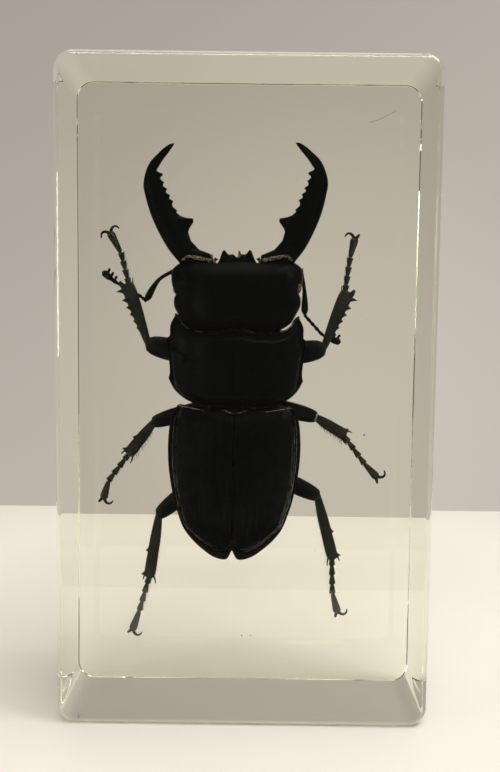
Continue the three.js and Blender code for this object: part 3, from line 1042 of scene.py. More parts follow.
@dataclass
class WingCases:
    """The two wing cases: glossy, with a flat rim outside a groove and faint lengthwise lines.

    Attributes:
        height: How far they stand over their rims.
        shell: Their thickness.
        seam: Half the gap between them.
        rim_side: The flat rim's width along the side.
        rim_tail: Its width at the tail.
        groove: The depth of the groove inside the rim.
        lines: How many lengthwise lines each has.
        line_depth: How deep they are.
        columns: Points across.
        rows: Points along.
        width: Half the width of both, from tail to front.
        hind: The Z of the tail's edge, from the seam to the side.
        front: The Z of the front edge.
        films: Each side's painted glint lines of thin air gaps, as how far inside the outline each runs,
        half its width and the share of the length where it starts, and half the width of the line at the
        front.
    """

    height: float = 5.6
    shell: float = 0.45
    seam: float = 0.15
    rim_side: float = 0.5
    rim_tail: float = 1.15
    groove: float = 0.14
    lines: int = 8
    line_depth: float = 0.035
    columns: int = 96
    rows: int = 120
    width: Profile = Profile(
        (0, 9.3), (0.15, 10.2), (0.3, 10.85), (0.45, 11.3), (0.6, 11.5), (0.75, 11.45), (0.9, 11.1), (1, 10.3)
    )
    hind: Profile = Profile(
        (0, -25.7), (0.08, -27), (0.2, -27.1), (0.36, -26.6), (0.52, -25.6), (0.72, -24), (0.9, -22), (1, -20)
    )
    front: Profile = Profile((0, -1.4), (0.2, -0.7), (0.5, -0.4), (0.9, 0.1), (1, -0.6))
    films: Sequence[tuple[Side, Sequence[Triple], float]] = (
        (Side.RIGHT, ((0.62, 0.09, 0.93), (1.0, 0.06, 0.86)), 0.07),
        (Side.LEFT, ((0.75, 0.055, 0.9),), 0.06),
    )

    def surface(self, u: Array, v: Array) -> tuple[Array, Array, Array]:
        """Gives the right wing case's outer surface.

        Args:
            u: Places from the seam, 0, to the side, 1.
            v: Places from the tail, 0, to the front, 1.

        Returns:
            The points, how far each lies inside the outline, and the rim's width there.
        """
        x = u * self.width(v) + self.seam * (1 - u)
        z = lerp(self.hind(u), self.front(u), v)
        inward = soft_min(self.width(v) * (1 - u), (z - self.hind(u)) * 0.85)
        rim = lerp(self.rim_side, self.rim_tail, ease((-z - 15) / 9))
        rise = ease((inward - rim) / 1.2)
        stand = self.height * dome(np.broadcast_to(u, x.shape), v, 0.42, 0.15) * rise
        stand += 0.2 * hump(inward, 0, 0.14) - self.groove * hump(inward, rim * 0.95, 0.2)
        stand -= 0.1 * hump(x, 0.75, 0.18) * rise
        wave = np.cos(2 * math.pi * self.lines * x / self.width(v)) * 0.5 + 0.5
        stand -= self.line_depth * wave**6 * ease((inward - 1.6) / 1.5) * ease((x - 0.8) / 0.6)
        shoulder = hump(x, 8.4, 1.6) * hump(z, -2.6, 1.6)
        stand += 0.35 * shoulder * rise
        return np.stack([x, -RIM / 2 - stand, z], axis=-1), inward, rim

    def form(self) -> Shape:
        """Draws the right wing case."""
        u = np.sin(np.linspace(0, math.pi / 2, self.columns))[:, None]
        t = np.linspace(0, 1, self.rows)
        v = lerp(t, 0.5 - 0.5 * np.cos(math.pi * t), 0.6)[None, :]
        top, inward, rim = self.surface(u, v)
        under = top.copy()
        under[..., 1] = np.minimum(top[..., 1] + self.shell, RIM / 2)
        return Shape().add_sheets(top, under, 0.06, 1 - ease((inward - 0.1) / (rim * 1.1)))

    def _edge_film(self, inset: float, radius: float, front: float) -> Shape:
        """Draws one pale line along the side and the tail of the right wing case, a painted glint of a thin
        air gap.

        Args:
            inset: How far inside the outline it runs.
            radius: Half its width.
            front: Where it starts, as a share of the length.

        Returns:
            The line's shape.
        """
        down, along = np.linspace(front, 0.2, 40), np.linspace(0.93, 0.16, 34)
        low = (inset * 1.25 + 0.55) / (self.front(along) - self.hind(along))
        u = np.concatenate([1 - inset / self.width(down), along])
        path = bend(self.surface(u, np.concatenate([down, low]))[0][::3], 4)
        path[:, 1] -= 0.03
        share = np.linspace(0, 1, len(path))
        waves = 0.8 + 0.2 * np.sin(share * 19) * np.sin(share * 7 + 1)
        ends = np.sqrt(np.sin(math.pi * np.clip(share, 0.01, 0.99)))
        return Shape().add_rings(tube(path, radius * waves * ends, 6, 0.5))

    def _front_film(self, radius: float) -> Shape:
        """Draws the pale line along the front edge of the right wing case, a painted glint of a thin air gap.

        Args:
            radius: Half its width.

        Returns:
            The line's shape.
        """
        count = 16
        path = self.surface(np.linspace(0.5, 0.97, count), np.full(count, 0.992))[0]
        path[:, 1] -= 0.05
        return Shape().add_rings(tube(path, radius * spindle(count), 6, 0.5))

    def build(self) -> None:
        """Makes both wing cases and the pale lines at their edges that paint the glint of thin air gaps."""
        right = self.form()
        for side, shape in ((Side.RIGHT, right), (Side.LEFT, right.mirrored())):
            make_piece(f"wing_case_{side.label}", shape, BEETLE_FRAME, WING, (f"elytron_{side.label}",))
        films = Shape()
        for side, edges, front in self.films:
            for line in (*(self._edge_film(*edge) for edge in edges), self._front_film(front)):
                films.join(line if side is Side.RIGHT else line.mirrored())
        # Pale lines that paint the silvery glint of thin air gaps at the wing cases' edges.
        make_piece("wing_films", films, BEETLE_FRAME, GLINT_FILM)


@dataclass
class Trunk:
    """The body under the wing cases, with the belly's plates, the small shield and the waist.

    Attributes:
        inset: How far it lies inside the wing cases' outline.
        fill: The height that it fills under them.
        belly: The depth of the belly.
        seams: Where the belly's plates meet, along Z.
        columns: Points across.
        rows: Points along.
        waist: Where the rod at the waist runs.
        waist_radius: Its radius.
        shield: Half the small shield's width.
        shield_y: The Y of its rim.
        shield_rise: How far its middle stands over that.
        shield_shell: Its thickness.
        fringe: Half the width of the pale edge behind it.
    """

    inset: float = 1.2
    fill: float = 3.96
    belly: float = 3.6
    seams: Sequence[float] = (-12.6, -15.6, -17.9, -20.0, -22.0)
    columns: int = 72
    rows: int = 110
    waist: Sequence[Triple] = ((0, 0.4, -3.2), (0, 0.3, -1.6), (0, 0.3, -0.55))
    waist_radius: float = 1.6
    shield: float = 1.75
    shield_y: float = -4.35
    shield_rise: float = 0.35
    shield_shell: float = 1.2
    fringe: float = 1.5

    def _belly_relief(self, x: Array, z: Array) -> Array:
        """Gives how far the belly stands out at each place over its even swell.

        Args:
            x: The X of each place.
            z: The Z of each place.

        Returns:
            How far the surface stands out there.
        """
        relief = -0.32 * hump(x, 0, 0.25) * ease((z + 12) / 2) * ease((-z - 1.5) / 1.5)
        for seam in self.seams:
            curve = z - seam - 0.012 * x**2
            relief = relief - 0.3 * hump(curve, 0, 0.16) + 0.12 * hump(curve, -0.45, 0.35)
        for side in (-1, 1):
            hip = ((x - side * 3.4) / 3.2) ** 2 + ((z + 10.9 + 0.1 * np.abs(x)) / 1.2) ** 2
            socket = ((x - side * 3.2) / 1.6) ** 2 + ((z + 1.2) / 1.5) ** 2
            relief = relief + 0.55 * np.exp(-(hip**2)) + 0.5 * np.exp(-(socket**2))
        return relief

    def build(self, cases: WingCases) -> None:
        """Makes the body, the small shield between the wing cases and the waist.

        Args:
            cases: The wing cases that it lies under.
        """
        across, v, x, z = plate_grid(
            self.columns,
            self.rows,
            lambda along: cases.width(along) - self.inset,
            lambda out: cases.hind(np.maximum(out, 0.3)) + self.inset,
            lambda out: np.minimum(cases.front(out), cases.front(0.5)) - 0.3,
        )
        rim = RIM / 2 + 0.3
        over = rim - self.fill * dome(across, v, 0.5, 0.2)
        edge = dome(across, v, 0.35, 0.2)
        under = rim + RIM + self.belly * edge + self._belly_relief(x, z) * ease(edge * 2)
        shape = Shape()
        top, bottom = np.stack([x, over, z], 2), np.stack([x, under, z], 2)
        shape.add_sheets(top, bottom, 0.15, 0.5 * hump(edge, 0, 0.3))
        shape.add_rings(tube(bend(self.waist), self.waist_radius, 20, 1.6))
        make_piece("trunk", shape, BEETLE_FRAME, BELLY, ("hind_body",))
        self._shield()

    def _shield(self) -> None:
        """Makes the small shield between the wing cases' bases, with its pale hind edge."""
        u, v = np.broadcast_arrays(np.linspace(-1, 1, 30)[:, None], np.linspace(0, 1, 12)[None, :])
        z = lerp(-0.9 + 0.52 * np.abs(u) ** 1.6, -0.36, v)
        y = self.shield_y - self.shield_rise * (1 - u**2) * swell(v * 1.5)
        top = np.stack([u * self.shield, y, z], axis=2)
        shape = Shape().add_sheets(top, top + np.array([0, self.shield_shell, 0]), 0.04)
        make_piece("small_shield", shape, BEETLE_FRAME, SHELL)
        x = np.linspace(-self.fringe, self.fringe, 24)
        path = np.stack([x, np.full(24, -4.5), -1.0 + 0.35 * (x / self.fringe) ** 2], axis=1)
        fringe = Shape().add_rings(tube(path, 0.02 + 0.11 * np.sqrt(1 - (x / 1.52) ** 2), 8))
        make_piece("shield_fringe", fringe, BEETLE_FRAME, SKIN)


@dataclass
class NeckShield:
    """The large plate behind the head: domed, rimmed all round, with a spine on each side.

    Attributes:
        height: How far it stands over its rim.
        belly: The depth of its underside.
        rim: The width of the flat rim.
        columns: Points across.
        rows: Points along.
        width: Half its width, from its hind to its front end.
        hind: The Z of its hind edge, from the middle line to the side.
        front: The Z of its front edge.
    """

    height: float = 4.9
    belly: float = 3.6
    rim: float = 0.42
    columns: int = 110
    rows: int = 84
    width: Profile = Profile(
        (0, 11.6), (0.12, 11.4), (0.4, 11.7), (0.62, 11.95), (0.68, 11.5), (0.85, 11.4), (1, 10.6)
    )
    hind: Profile = Profile((0, 0), (0.5, 0.15), (0.72, 0.9), (0.9, 2.5), (1, 4.6))
    front: Profile = Profile((0, 13.1), (0.33, 12.5), (0.57, 12.4), (0.78, 12.9), (0.9, 13.9), (1, 15.5))

    def _relief(self, x: Array, z: Array) -> Array:
        """Gives the shallow dents and the middle line of the back.

        Args:
            x: The X of each place.
            z: The Z of each place.

        Returns:
            How far the surface stands out there.
        """
        relief = -0.1 * hump(x, 0, 0.3) * ease((z - 1.5) / 2) * ease((11 - z) / 2)
        for side in (-1, 1):
            relief = relief - 0.22 * hump(x, side * 7.6, 1.1) * hump(z, 7.2, 0.9)
            relief = relief - 0.14 * hump(x, side * 4.0, 1.5) * hump(z, 10.4, 0.6)
        return relief

    def _chest(self, x: Array, z: Array) -> Array:
        """Gives the sockets of the front legs and the keel between them.

        Args:
            x: The X of each place.
            z: The Z of each place.

        Returns:
            How far the surface stands out there.
        """
        relief = 0.9 * hump(x, 0, 0.8) * hump(z, 6.4, 3.4)
        for side in (-1, 1):
            relief = relief - 0.8 * hump(x, side * 4.2, 2.4) * hump(z, 7.4, 1.3)
            relief = relief + 0.35 * hump(x, side * 4.2, 2.6) * hump(z, 5.3, 0.5)
        return relief

    def build(self) -> None:
        """Makes the plate."""
        across, v, x, z = plate_grid(self.columns, self.rows, self.width, self.hind, self.front)
        sides = self.width(v) * (1 - across)
        ends = soft_min((z - self.hind(across)) * 0.9, (self.front(across) - z) * 0.95)
        inward = soft_min(sides, ends)
        rise = ease((inward - self.rim) / 0.9)
        form = dome(across, v, 0.16, 0.12)
        end_fall = ease(ends / 1.4) ** 0.5
        stand = self.height * form * lerp(0.62, 1, end_fall) * lerp(ease(sides / 1.4), 1, rise)
        stand += 0.14 * hump(inward, 0.05, 0.14) - 0.12 * hump(inward, self.rim, 0.16)
        stand += self._relief(x, z) * rise
        under = RIM / 2 + self.belly * form + self._chest(x, z) * ease(form * 1.6)
        top = np.stack([x, -RIM / 2 - stand, z], axis=2)
        shape = Shape().add_sheets(top, np.stack([x, under, z], 2), 0.07, 0.25 * (1 - ease(inward / 0.4)))
        make_piece("neck_shield", shape, BEETLE_FRAME, SHELL, ("pronotum",))

    def neck(self, x: Array) -> Array:
        """Gives the Z of the front edge at each X to the right of the middle."""
        return self.front(x / self.width(1.0))


@dataclass
class Folds:
    """The dark skin that closes the gaps behind the head and behind the neck shield.

    Attributes:
        radius: Half its thickness.
        reach: How far it runs to each side at the neck.
        waist: How far it does at the waist.
        slit: Where a narrow slit stays open at the neck, along X.
        glint: Where the pale fold of skin at the neck, a painted glint in the gap, starts and ends, along X.
        glint_dashes: Where the pale dashes beside it, painted glints of thin air gaps, do.
        knee: Where the pale line that paints a glint at the right middle leg's knee runs.
    """

    radius: float = 0.62
    reach: float = 10.7
    waist: float = 8.6
    slit: Pair = (7.5, 10.0)
    glint: Pair = (7.4, 9.9)
    glint_dashes: Sequence[Pair] = ((-9.6, -8.2), (-7.4, -5.8), (0.8, 2.9))
    knee: Sequence[Triple] = ((14.4, 1.3, -1.1), (14.2, 1.15, -1.75), (14.0, 1.3, -2.4))

    def _roll(self, shape: Shape, x: Array, z: Array, y: float, radius: Array) -> None:
        """Adds one roll of skin across the body to a shape."""
        shape.add_rings(tube(np.stack([x, np.full(len(x), y), z], axis=1), radius))

    def build(self, shield: NeckShield) -> None:
        """Makes the rolls of skin at the neck and at the waist, and the pale films that paint glints in the
        gaps.

        Args:
            shield: The neck shield whose front edge they follow.
        """
        rolls, pale, films = Shape(), Shape(), Shape()
        x = np.linspace(-self.reach, self.reach, 60)
        ends = roll_ends(x / (self.reach * 1.01), 8)
        thinner = 1 - 0.58 * ease((x - self.slit[0]) / 0.5) * ease((self.slit[1] - x) / 0.5)
        self._roll(rolls, x, shield.neck(np.abs(x)) + 0.25, 0.3, self.radius * ends * thinner)
        self._roll(rolls, x * self.waist / self.reach, np.full(60, -0.2), 0.3, self.radius * ends)
        make_piece("dark_folds", rolls, BEETLE_FRAME, FOLD)
        x = np.linspace(*self.glint, 20)
        # A pale roll of skin in the neck gap that paints a glint there.
        self._roll(pale, x, shield.neck(x) + 0.3, -0.62, 0.17 * roll_ends(np.linspace(-1, 1, 20), 4))
        make_piece("neck_skin_painted_glint", pale, BEETLE_FRAME, SKIN)
        # Pale dashes and a knee line that paint the glint of thin air gaps.
        for start, end in self.glint_dashes:
            x = np.linspace(start, end, 14)
            self._roll(films, x, shield.neck(np.abs(x)) + 0.3, -0.68, 0.09 * spindle(14))
        films.add_rings(tube(bend(self.knee), 0.14, 8))
        make_piece("gap_films", films, BEETLE_FRAME, GLINT_FILM)


# The head


@dataclass
class Head:
    """The broad head, its lip, throat plate and eyes.

    Attributes:
        height: How far its top stands over its rim.
        throat: The depth of its underside.
        eyes: The middles of the left and the right eye.
        eye_size: The eye's half sizes.
        columns: Points across.
        rows: Points along.
        width: Half its width, from its hind to its front end.
        hind: The Z of its hind edge, from the middle line to the side.
        front: The Z of its front edge.
        lip: The Z of the lip's front edge, by X.
        lip_reach: Half the lip's width.
        tongue: Where the tongue runs.
        palp: Where the right palp runs.
    """

    height: float = 3.6
    throat: float = 2.8
    eyes: Sequence[Triple] = ((-10.45, -0.2, 7.4), (10.45, -0.75, 7.4))
    eye_size: Triple = (0.62, 0.85, 0.95)
    columns: int = 110
    rows: int = 80
    width: Profile = Profile(
        (0, 9.2), (0.15, 10.1), (0.3, 10.8), (0.5, 10.8), (0.72, 11.2), (0.9, 11), (1, 9.8)
    )
    hind: Profile = Profile((0, 0.5), (0.4, -0.1), (0.7, 0), (0.88, 0.6), (1, 1.4))
    front: Profile = Profile((0, 11.8), (0.45, 11.6), (0.8, 11.9), (1, 11.6))
    lip: Profile = Profile(
        (-3.6, 11.2), (-3.0, 12.2), (-2.3, 13.8), (-1.5, 13.1), (-0.7, 13.1), (0, 12.6),
        (0.7, 13.1), (1.5, 13.1), (2.3, 13.8), (3.0, 12.2), (3.6, 11.2),
    )
    lip_reach: float = 3.6
    tongue: Sequence[Triple] = ((0.3, -0.2, 12.0), (0.45, -0.5, 12.9), (0.4, -0.5, 13.7))
    palp: Sequence[Triple] = ((3.2, 2.2, 10.6), (4.1, 2.4, 11.6), (3.6, 2.3, 12.6))

    def _brow(self, x: Array, z: Array) -> Array:
        """Gives the hollow of the forehead, the ridges over the eyes and the bumps at the jaws.

        Args:
            x: The X of each place.
            z: The Z of each place.

        Returns:
            How far the surface stands out there.
        """
        relief = -0.2 * hump(x, 0, 4.6) * hump(z, 10.6, 2.4)
        for side in (-1, 1):
            relief = relief + 0.4 * hump(x, side * 8.6, 1.3) * hump(z, 7.6, 2.3)
            relief = relief + 0.2 * hump(x, side * 6.8, 1.4) * hump(z, 10.8, 1.0)
            relief = relief - 0.28 * hump(x, side * 9.4, 0.6) * hump(z, 9.8, 0.7)
        return relief

    def _throat(self, x: Array, z: Array) -> Array:
        """Gives the chin plate and the line down the throat.

        Args:
            x: The X of each place.
            z: The Z of each place.

        Returns:
            How far the surface stands out there.
        """
        chin = ease((4.6 - np.abs(x)) / 0.5) * ease((z - 7.3) / 0.4) * ease((11.6 - z) / 0.6)
        relief = 0.5 * chin - 0.18 * hump(x, 0, 0.2) * ease((6.5 - z) / 1.5)
        return relief - 0.25 * hump(np.abs(x), 2.6, 0.3) * ease((6.8 - z) / 1.5)

    def _lip(self) -> Shape:
        """Draws the two-lobed lip."""
        ends = np.linspace(-self.lip_reach, self.lip_reach, 72)[:, None]
        x, v = np.broadcast_arrays(ends, np.linspace(0, 1, 14)[None, :])
        z = lerp(10.2, self.lip(x), v)
        half = 0.85 * np.sqrt(np.clip(1 - v**3, 0, 1)) * np.sqrt(np.clip(1 - (x / 3.62) ** 6, 0, 1)) + 0.04
        return Shape().add_sheets(np.stack([x, -0.2 - half, z], 2), np.stack([x, half, z], 2), 0.05)

    def build(self) -> None:
        """Makes the skull with its lip, the eyes and the mouth's small parts."""
        across, v, x, z = plate_grid(self.columns, self.rows, self.width, self.hind, self.front)
        form = dome(across, v, 0.2, 0.3)
        fall = lerp(0.45, 1, ease((self.front(across) - z) * 0.95 / 2.2) ** 0.7)
        stand = self.height * form * fall + self._brow(x, z) * ease(form * 1.5)
        notch = np.exp(-(((np.abs(x) - 11) / 0.7) ** 2) - ((z - 6.3) / 0.35) ** 2)
        under = RIM + self.throat * form + self._throat(x, z) * ease(form * 1.6)
        x = x - np.sign(x) * 0.3 * notch
        shape = Shape().add_sheets(np.stack([x, -RIM - stand, z], 2), np.stack([x, under, z], 2), 0.1)
        make_piece("skull", shape.join(self._lip()), HEAD_FRAME, SHELL, ("head",))
        eyes = Shape()
        for middle in self.eyes:
            eyes.add_rings(ball(middle, self.eye_size))
        make_piece("eyes", eyes, HEAD_FRAME, EYE)
        self._mouth()

    def _mouth(self) -> None:
        """Makes the palps under the lip and the brown tongue that shows between its lobes."""
        path = bend(self.tongue)
        tongue = Shape().add_rings(tube(path, np.linspace(0.42, 0.14, len(path)), 10, 0.8))
        make_piece("tongue", tongue, HEAD_FRAME, EYE)
        palps = Shape()
        for side in (-1, 1):
            palp = bend([(side * x, y, z) for x, y, z in self.palp])
            palps.add_rings(tube(palp, 0.3 + 0.07 * np.cos(np.linspace(0, 6 * math.pi, len(palp))), 10))
        make_piece("mouth_parts", palps, HEAD_FRAME, HAIR)


@dataclass
class Mandibles:
    """The two long jaws, each with one great tooth, a saw of small ones and a hooked tip.

    Attributes:
        depth: The thickness at the root.
        tip_share: The share of it that the tip keeps.
        stations: How many rings each has.
        outer: The right jaw's outer edge, as Z and X.
        body: Its inner edge without any teeth.
        root: Its inner edge up to the great tooth.
        teeth: Its saw of small teeth.
        hook: The inner edge of its hooked tip.
        hinge: Where the left jaw turns.
        left_spread: How much further it is opened, in degrees.
        skin: Where the pale skin at the right jaw's root runs.
        film: Where the pale line beside the left jaw's root runs, a painted glint of a thin air gap.
    """

    depth: float = 3.6
    tip_share: float = 0.34
    stations: int = 230
    outer: Sequence[Pair] = (
        (11.4, 9.7), (12.0, 10.1), (14.1, 11.7), (16.9, 13.2), (19.8, 14.4), (22.8, 15.2), (25.4, 15.5),
        (28.4, 14.5), (30.3, 12.75), (31.4, 11.4), (31.85, 10.55),
    )
    body: Sequence[Pair] = (
        (11.4, 4.1), (13.0, 4.4), (13.9, 6.5), (15.4, 7.8), (17.2, 8.6), (19.4, 9.9), (21.3, 11.0),
        (23.6, 12.1), (25.9, 13.0), (27.3, 13.25), (28.3, 12.65), (30.4, 11.1), (31.85, 10.05),
    )
    root: Sequence[Pair] = (
        (11.4, 4.0), (12.95, 4.1), (13.9, 6.4), (15.4, 7.75), (16.9, 8.2), (17.5, 7.98), (18.5, 7.3),
        (18.8, 7.22), (18.95, 7.32), (19.1, 7.22), (19.22, 7.4), (19.3, 8.3), (19.65, 9.35),
    )
    teeth: Sequence[Pair] = (
        (20.3, 10.15), (20.45, 9.97), (20.65, 9.97), (20.9, 10.3), (21.3, 10.72), (21.85, 10.75),
        (22.05, 10.56), (22.25, 10.6), (22.6, 11.2), (22.9, 11.2), (23.05, 11.03), (23.2, 11.08),
        (23.6, 11.7), (23.95, 11.72), (24.1, 11.5), (24.28, 11.54), (24.7, 12.15), (25.1, 12.18),
        (25.25, 12.0), (25.42, 12.02), (25.85, 12.55), (26.2, 12.58), (26.4, 12.28), (26.65, 12.13),
        (26.85, 12.25), (27.1, 12.9),
    )
    hook: Sequence[Pair] = (
        (27.4, 13.2), (28.3, 12.6), (29.2, 12.0), (30.4, 11.0), (31.4, 10.25), (31.85, 10.0)
    )
    hinge: Triple = (-9, 0, 12)
    left_spread: float = 1.4
    skin: Sequence[Triple] = (
        (9.4, -1.2, 12.0), (8.5, -1.75, 12.7), (7.2, -1.8, 12.55), (5.8, -1.6, 12.3), (4.3, -1.1, 12.0),
    )
    film: Sequence[Triple] = ((-4.5, -1.9, 13.1), (-4.1, -1.85, 12.3), (-3.8, -1.8, 11.7))

    def form(self) -> Shape:
        """Draws the right jaw."""
        z = np.linspace(11.45, 31.8, self.stations)
        outside, inside = Profile(*self.outer)(z), polyline(*self.root, *self.teeth, *self.hook)(z)
        body = np.maximum(Profile(*self.body)(z), inside)
        half = self.depth / 2 * lerp(1, self.tip_share, (z - 12) / 19.8) * stop(31.86 - z, 0.7)
        half = half * swell((z - 11.1) / 1.8)
        middle = (outside + body) / 2
        rings = blade(
            (0, 0), (0, 1), (0, 0), z, outside - middle, middle - inside, half, Side.RIGHT,
            inner_base=middle - body, fullness=2.5, sides=26,
        )
        rings[..., 0] += middle[:, None]
        rings[..., 1] -= (0.5 * hump(z, 26, 5))[:, None]
        return Shape().add_rings(rings, 0.35 * ease((z - 29) / 3))

    def build(self) -> None:
        """Makes both jaws and the pale skin at their roots."""
        right = self.form()
        hinge = Matrix.Translation(self.hinge)
        spread = Matrix.Rotation(-math.radians(self.left_spread), 4, "Y")
        wider = HEAD_FRAME @ hinge @ spread @ hinge.inverted()
        for side, shape, place in ((Side.RIGHT, right, HEAD_FRAME), (Side.LEFT, right.mirrored(), wider)):
            make_piece(f"jaw_{side.label}", shape, place, SHELL, (f"mandible_{side.label}",))
        skin = Shape()
        for side in (-1, 1):
            path = bend([(side * x, y, z) for x, y, z in self.skin])
            share = np.linspace(0, 1, len(path))
            wave = 0.17 + 0.15 * ease(1.4 * share) + 0.06 * np.sin(21 * share) * np.sin(8 * share + 1)
            wave[[0, -1]] = 0.08
            skin.add_rings(tube(path, wave, 10, 0.6))
        make_piece("jaw_skin", skin, HEAD_FRAME, SKIN)
        # A pale line beside the left jaw's root that paints the glint of a thin air gap.
        make_piece("jaw_film", Shape().add_rings(tube(bend(self.film), 0.12, 8)), HEAD_FRAME, GLINT_FILM)


@dataclass
class Antenna:
    """One elbowed antenna: a long first joint, a whip of small ones and a club of leaves.

    Attributes:
        side: Its side.
        scape: Where the first joint runs, as X and Z in the head's frame.
        whip: Where the whip runs after it.
        deep: The Y of the first joint's three places.
        whip_deep: The Y of the whip.
        leaves: How far along the last stretch each leaf stands, and how long it is.
        leaf_half: Half a leaf's width and depth.
    """

    side: Side
    scape: Sequence[Pair]
    whip: Sequence[Pair]
    deep: Triple = (1.9, 2.6, 3.3)
    whip_deep: float = 4.1
    leaves: Sequence[Pair] = ((0.2, 1.0), (0.45, 1.15), (0.7, 1.3))
    leaf_half: Pair = (0.3, 0.42)

    def build(self) -> None:
        """Makes the antenna with the leaves of its club."""
        first = bend([(x, y, z) for (x, z), y in zip(self.scape, self.deep)], 14)
        share = np.linspace(0, 1, len(first))
        radius = 0.32 + 0.06 * hump(share, 0, 0.1) + 0.3 * ease((share - 0.4) / 0.5)
        shape = Shape().add_rings(tube(first, radius * stop(1.004 - share, 0.1), 14))
        elbow = (self.scape[-1][0], self.deep[-1], self.scape[-1][1])
        second = bend([elbow, *((x, self.whip_deep, z) for x, z in self.whip)], 22)
        share = np.linspace(0, 1, len(second))
        radius = 0.28 + 0.045 * np.cos(share * 2 * math.pi * 7) + 0.38 * ease((share - 0.66) / 0.3)
        shape.add_rings(tube(second, radius * stop(1.003 - share, 0.06), 14))
        name = self.side.label
        make_piece(f"feeler_{name}", shape, HEAD_FRAME, LIMB, (f"antenna_{name}",))
        base, tip = np.array(self.whip[-2:])
        unit, inner = heading(base, tip, Side.RIGHT)
        length = np.linalg.norm(tip - base)
        places = [base + unit * length * t for t, _ in self.leaves]
        points = np.array([(x, self.whip_deep, z) for x, z in places])
        aim = inner + unit * 0.25
        sizes = np.array([(*self.leaf_half, reach) for _, reach in self.leaves])
        aims = np.tile([aim[0], 0.0, aim[1]], (len(sizes), 1))
        Repeats(Unit.LEAF).build(f"feeler_leaves_{name}", points, aims, sizes, HEAD_FRAME, LIMB)


# The legs


@dataclass
class Leg:
    """One leg: thigh, shin with its teeth or spurs, five small joints and two claws.

    Attributes:
        pair: The pair that it belongs to.
        side: Its side.
        root: Where it starts under the body, as X and Z.
        knee: Where the shin starts.
        ankle: Where the foot starts.
        foot: Where the last small joint starts.
        toe: Where the claws start.
        hooks: The sides whose claw hooks in the leg's own plane.
        spine: Where the spine in the middle of a hind or middle shin stands, or 0 where none shows.
        depths: The Y of the same five places.
        thigh_width: Half the thigh's width in each pair.
        bristle_length: The length of the shin's bristles in each pair.
        hooked_claw: The course of a claw that hooks, as steps on from the toe and to the side.
        turned_claw: The course of one that curls away behind it.
        bell_widths: Half the width of each small joint.
        bell_laps: How far each runs into the next.
        hip_size: Half the hip's sizes.
        spurs: The spurs of a hind or middle shin, each as its base and its tip out to the side, its
            length and its radius.
        front_spurs: Those of a front shin.
    """

    pair: LegPair
    side: Side
    root: Pair
    knee: Pair
    ankle: Pair
    foot: Pair
    toe: Pair
    hooks: Sequence[Side]
    spine: float = 0.6
    depths: Sequence[float] = (5.9, 2.4, 2.5, 2.5, 2.3)

    thigh_width: ClassVar[dict[LegPair, float]] = dict(zip(LegPair, (1.9, 1.5, 1.62)))
    bristle_length: ClassVar[dict[LegPair, float]] = dict(zip(LegPair, (0.6, 1.6, 0.8)))
    hooked_claw: ClassVar[Sequence[Pair]] = (
        (-0.2, 0.1), (0.35, 0.4), (0.68, 0.95), (0.5, 1.5), (-0.05, 1.75)
    )
    turned_claw: ClassVar[Sequence[Pair]] = (
        (-0.2, 0.1), (0.35, 0.35), (0.75, 0.55), (0.9, 0.62), (0.75, 0.6)
    )
    bell_widths: ClassVar[Sequence[float]] = (0.68, 0.68, 0.68, 0.68, 0.86)
    bell_laps: ClassVar[Sequence[float]] = (0.16, 0.16, 0.16, 0.16, 0.0)
    hip_size: ClassVar[Triple] = (1.5, 1.0, 1.3)
    spurs: ClassVar[Sequence[tuple[float, ...]]] = (
        (-0.6, -0.75, 1.5, 0.2), (-0.2, -0.35, 1.0, 0.16), (0.75, 0.5, 1.1, 0.2)
    )
    front_spurs: ClassVar[Sequence[tuple[float, ...]]] = ((-0.5, -0.6, 1.2, 0.16), (0.9, 0.6, 1.25, 0.62))

    @property
    def name(self) -> str:
        """The leg's own name."""
        return f"{self.pair.value}_{self.side.label}"

    def _thigh(self, shape: Shape) -> None:
        """Adds the thigh, a flat club with a square end at the knee.

        Args:
            shape: The shape that it is added to.
        """
        thick = self.thigh_width[self.pair]
        club = 1.06 if self.pair is LegPair.FRONT else 0.98
        t = np.concatenate([np.linspace(0, 0.94, 44), np.linspace(0.95, 1.035, 14)])
        run = Profile(
            (0, 0.62), (0.12, 0.86), (0.4, 0.96), (0.7, club), (0.9, 0.86 * club), (0.98, 0.7), (1.035, 0.56)
        )
        width = thick * run(t) * stop(1.042 - t, 0.045)
        rings = blade(
            self.root, self.knee, self.depths[:2], t, width, width * 0.96, width * 0.62, self.side,
            fullness=2.6,
        )
        shape.add_rings(rings, 0.12 + 0.3 * ease((t - 0.85) / 0.15))

    def _shin_edges(self, along: Array, length: float) -> tuple[Array, ...]:
        """Gives the shin's edges.

        Args:
            along: Shares of the way from knee to ankle.
            length: The shin's length.

        Returns:
            The outer edge, the outer edge without teeth, and the inner edge.
        """
        if self.pair is LegPair.FRONT:
            start = ((-0.05, 0.4), (0.05, 0.6))
            base = Profile(*start, (0.3, 0.85), (0.6, 1.15), (0.9, 1.4), (1.05, 1.1))(along)
            inner = Profile(*start, (0.3, 0.8), (0.6, 0.98), (0.9, 1.0), (1.05, 0.6))(along)
            teeth = ((0.3, 1.1), (0.42, 1.3), (0.54, 1.5), (0.66, 1.75), (0.79, 2.05), (0.95, 2.6))
        else:
            start = ((-0.05, 0.5), (0.05, 0.66), (0.35, 0.93))
            base = Profile(*start, (0.6, 1.0), (0.92, 1.06), (1.03, 0.75))(along)
            inner = Profile(*start, (0.6, 0.95), (0.92, 0.98), (1.03, 0.65))(along)
            teeth = ((self.spine, 1.4), (0.99, 1.65)) if self.spine else ((0.99, 1.4),)
        outer = base.copy()
        back, ahead = 0.75 / length, 0.22 / length
        for place, reach in teeth:
            rise = np.clip((along - (place - back)) / back, 0, 1) ** 1.5 * (along <= place)
            fall = np.clip(((place + ahead) - along) / ahead, 0, 1) * (along > place)
            outer = np.maximum(outer, base + (reach - base) * np.maximum(rise, fall))
        return outer, base, inner

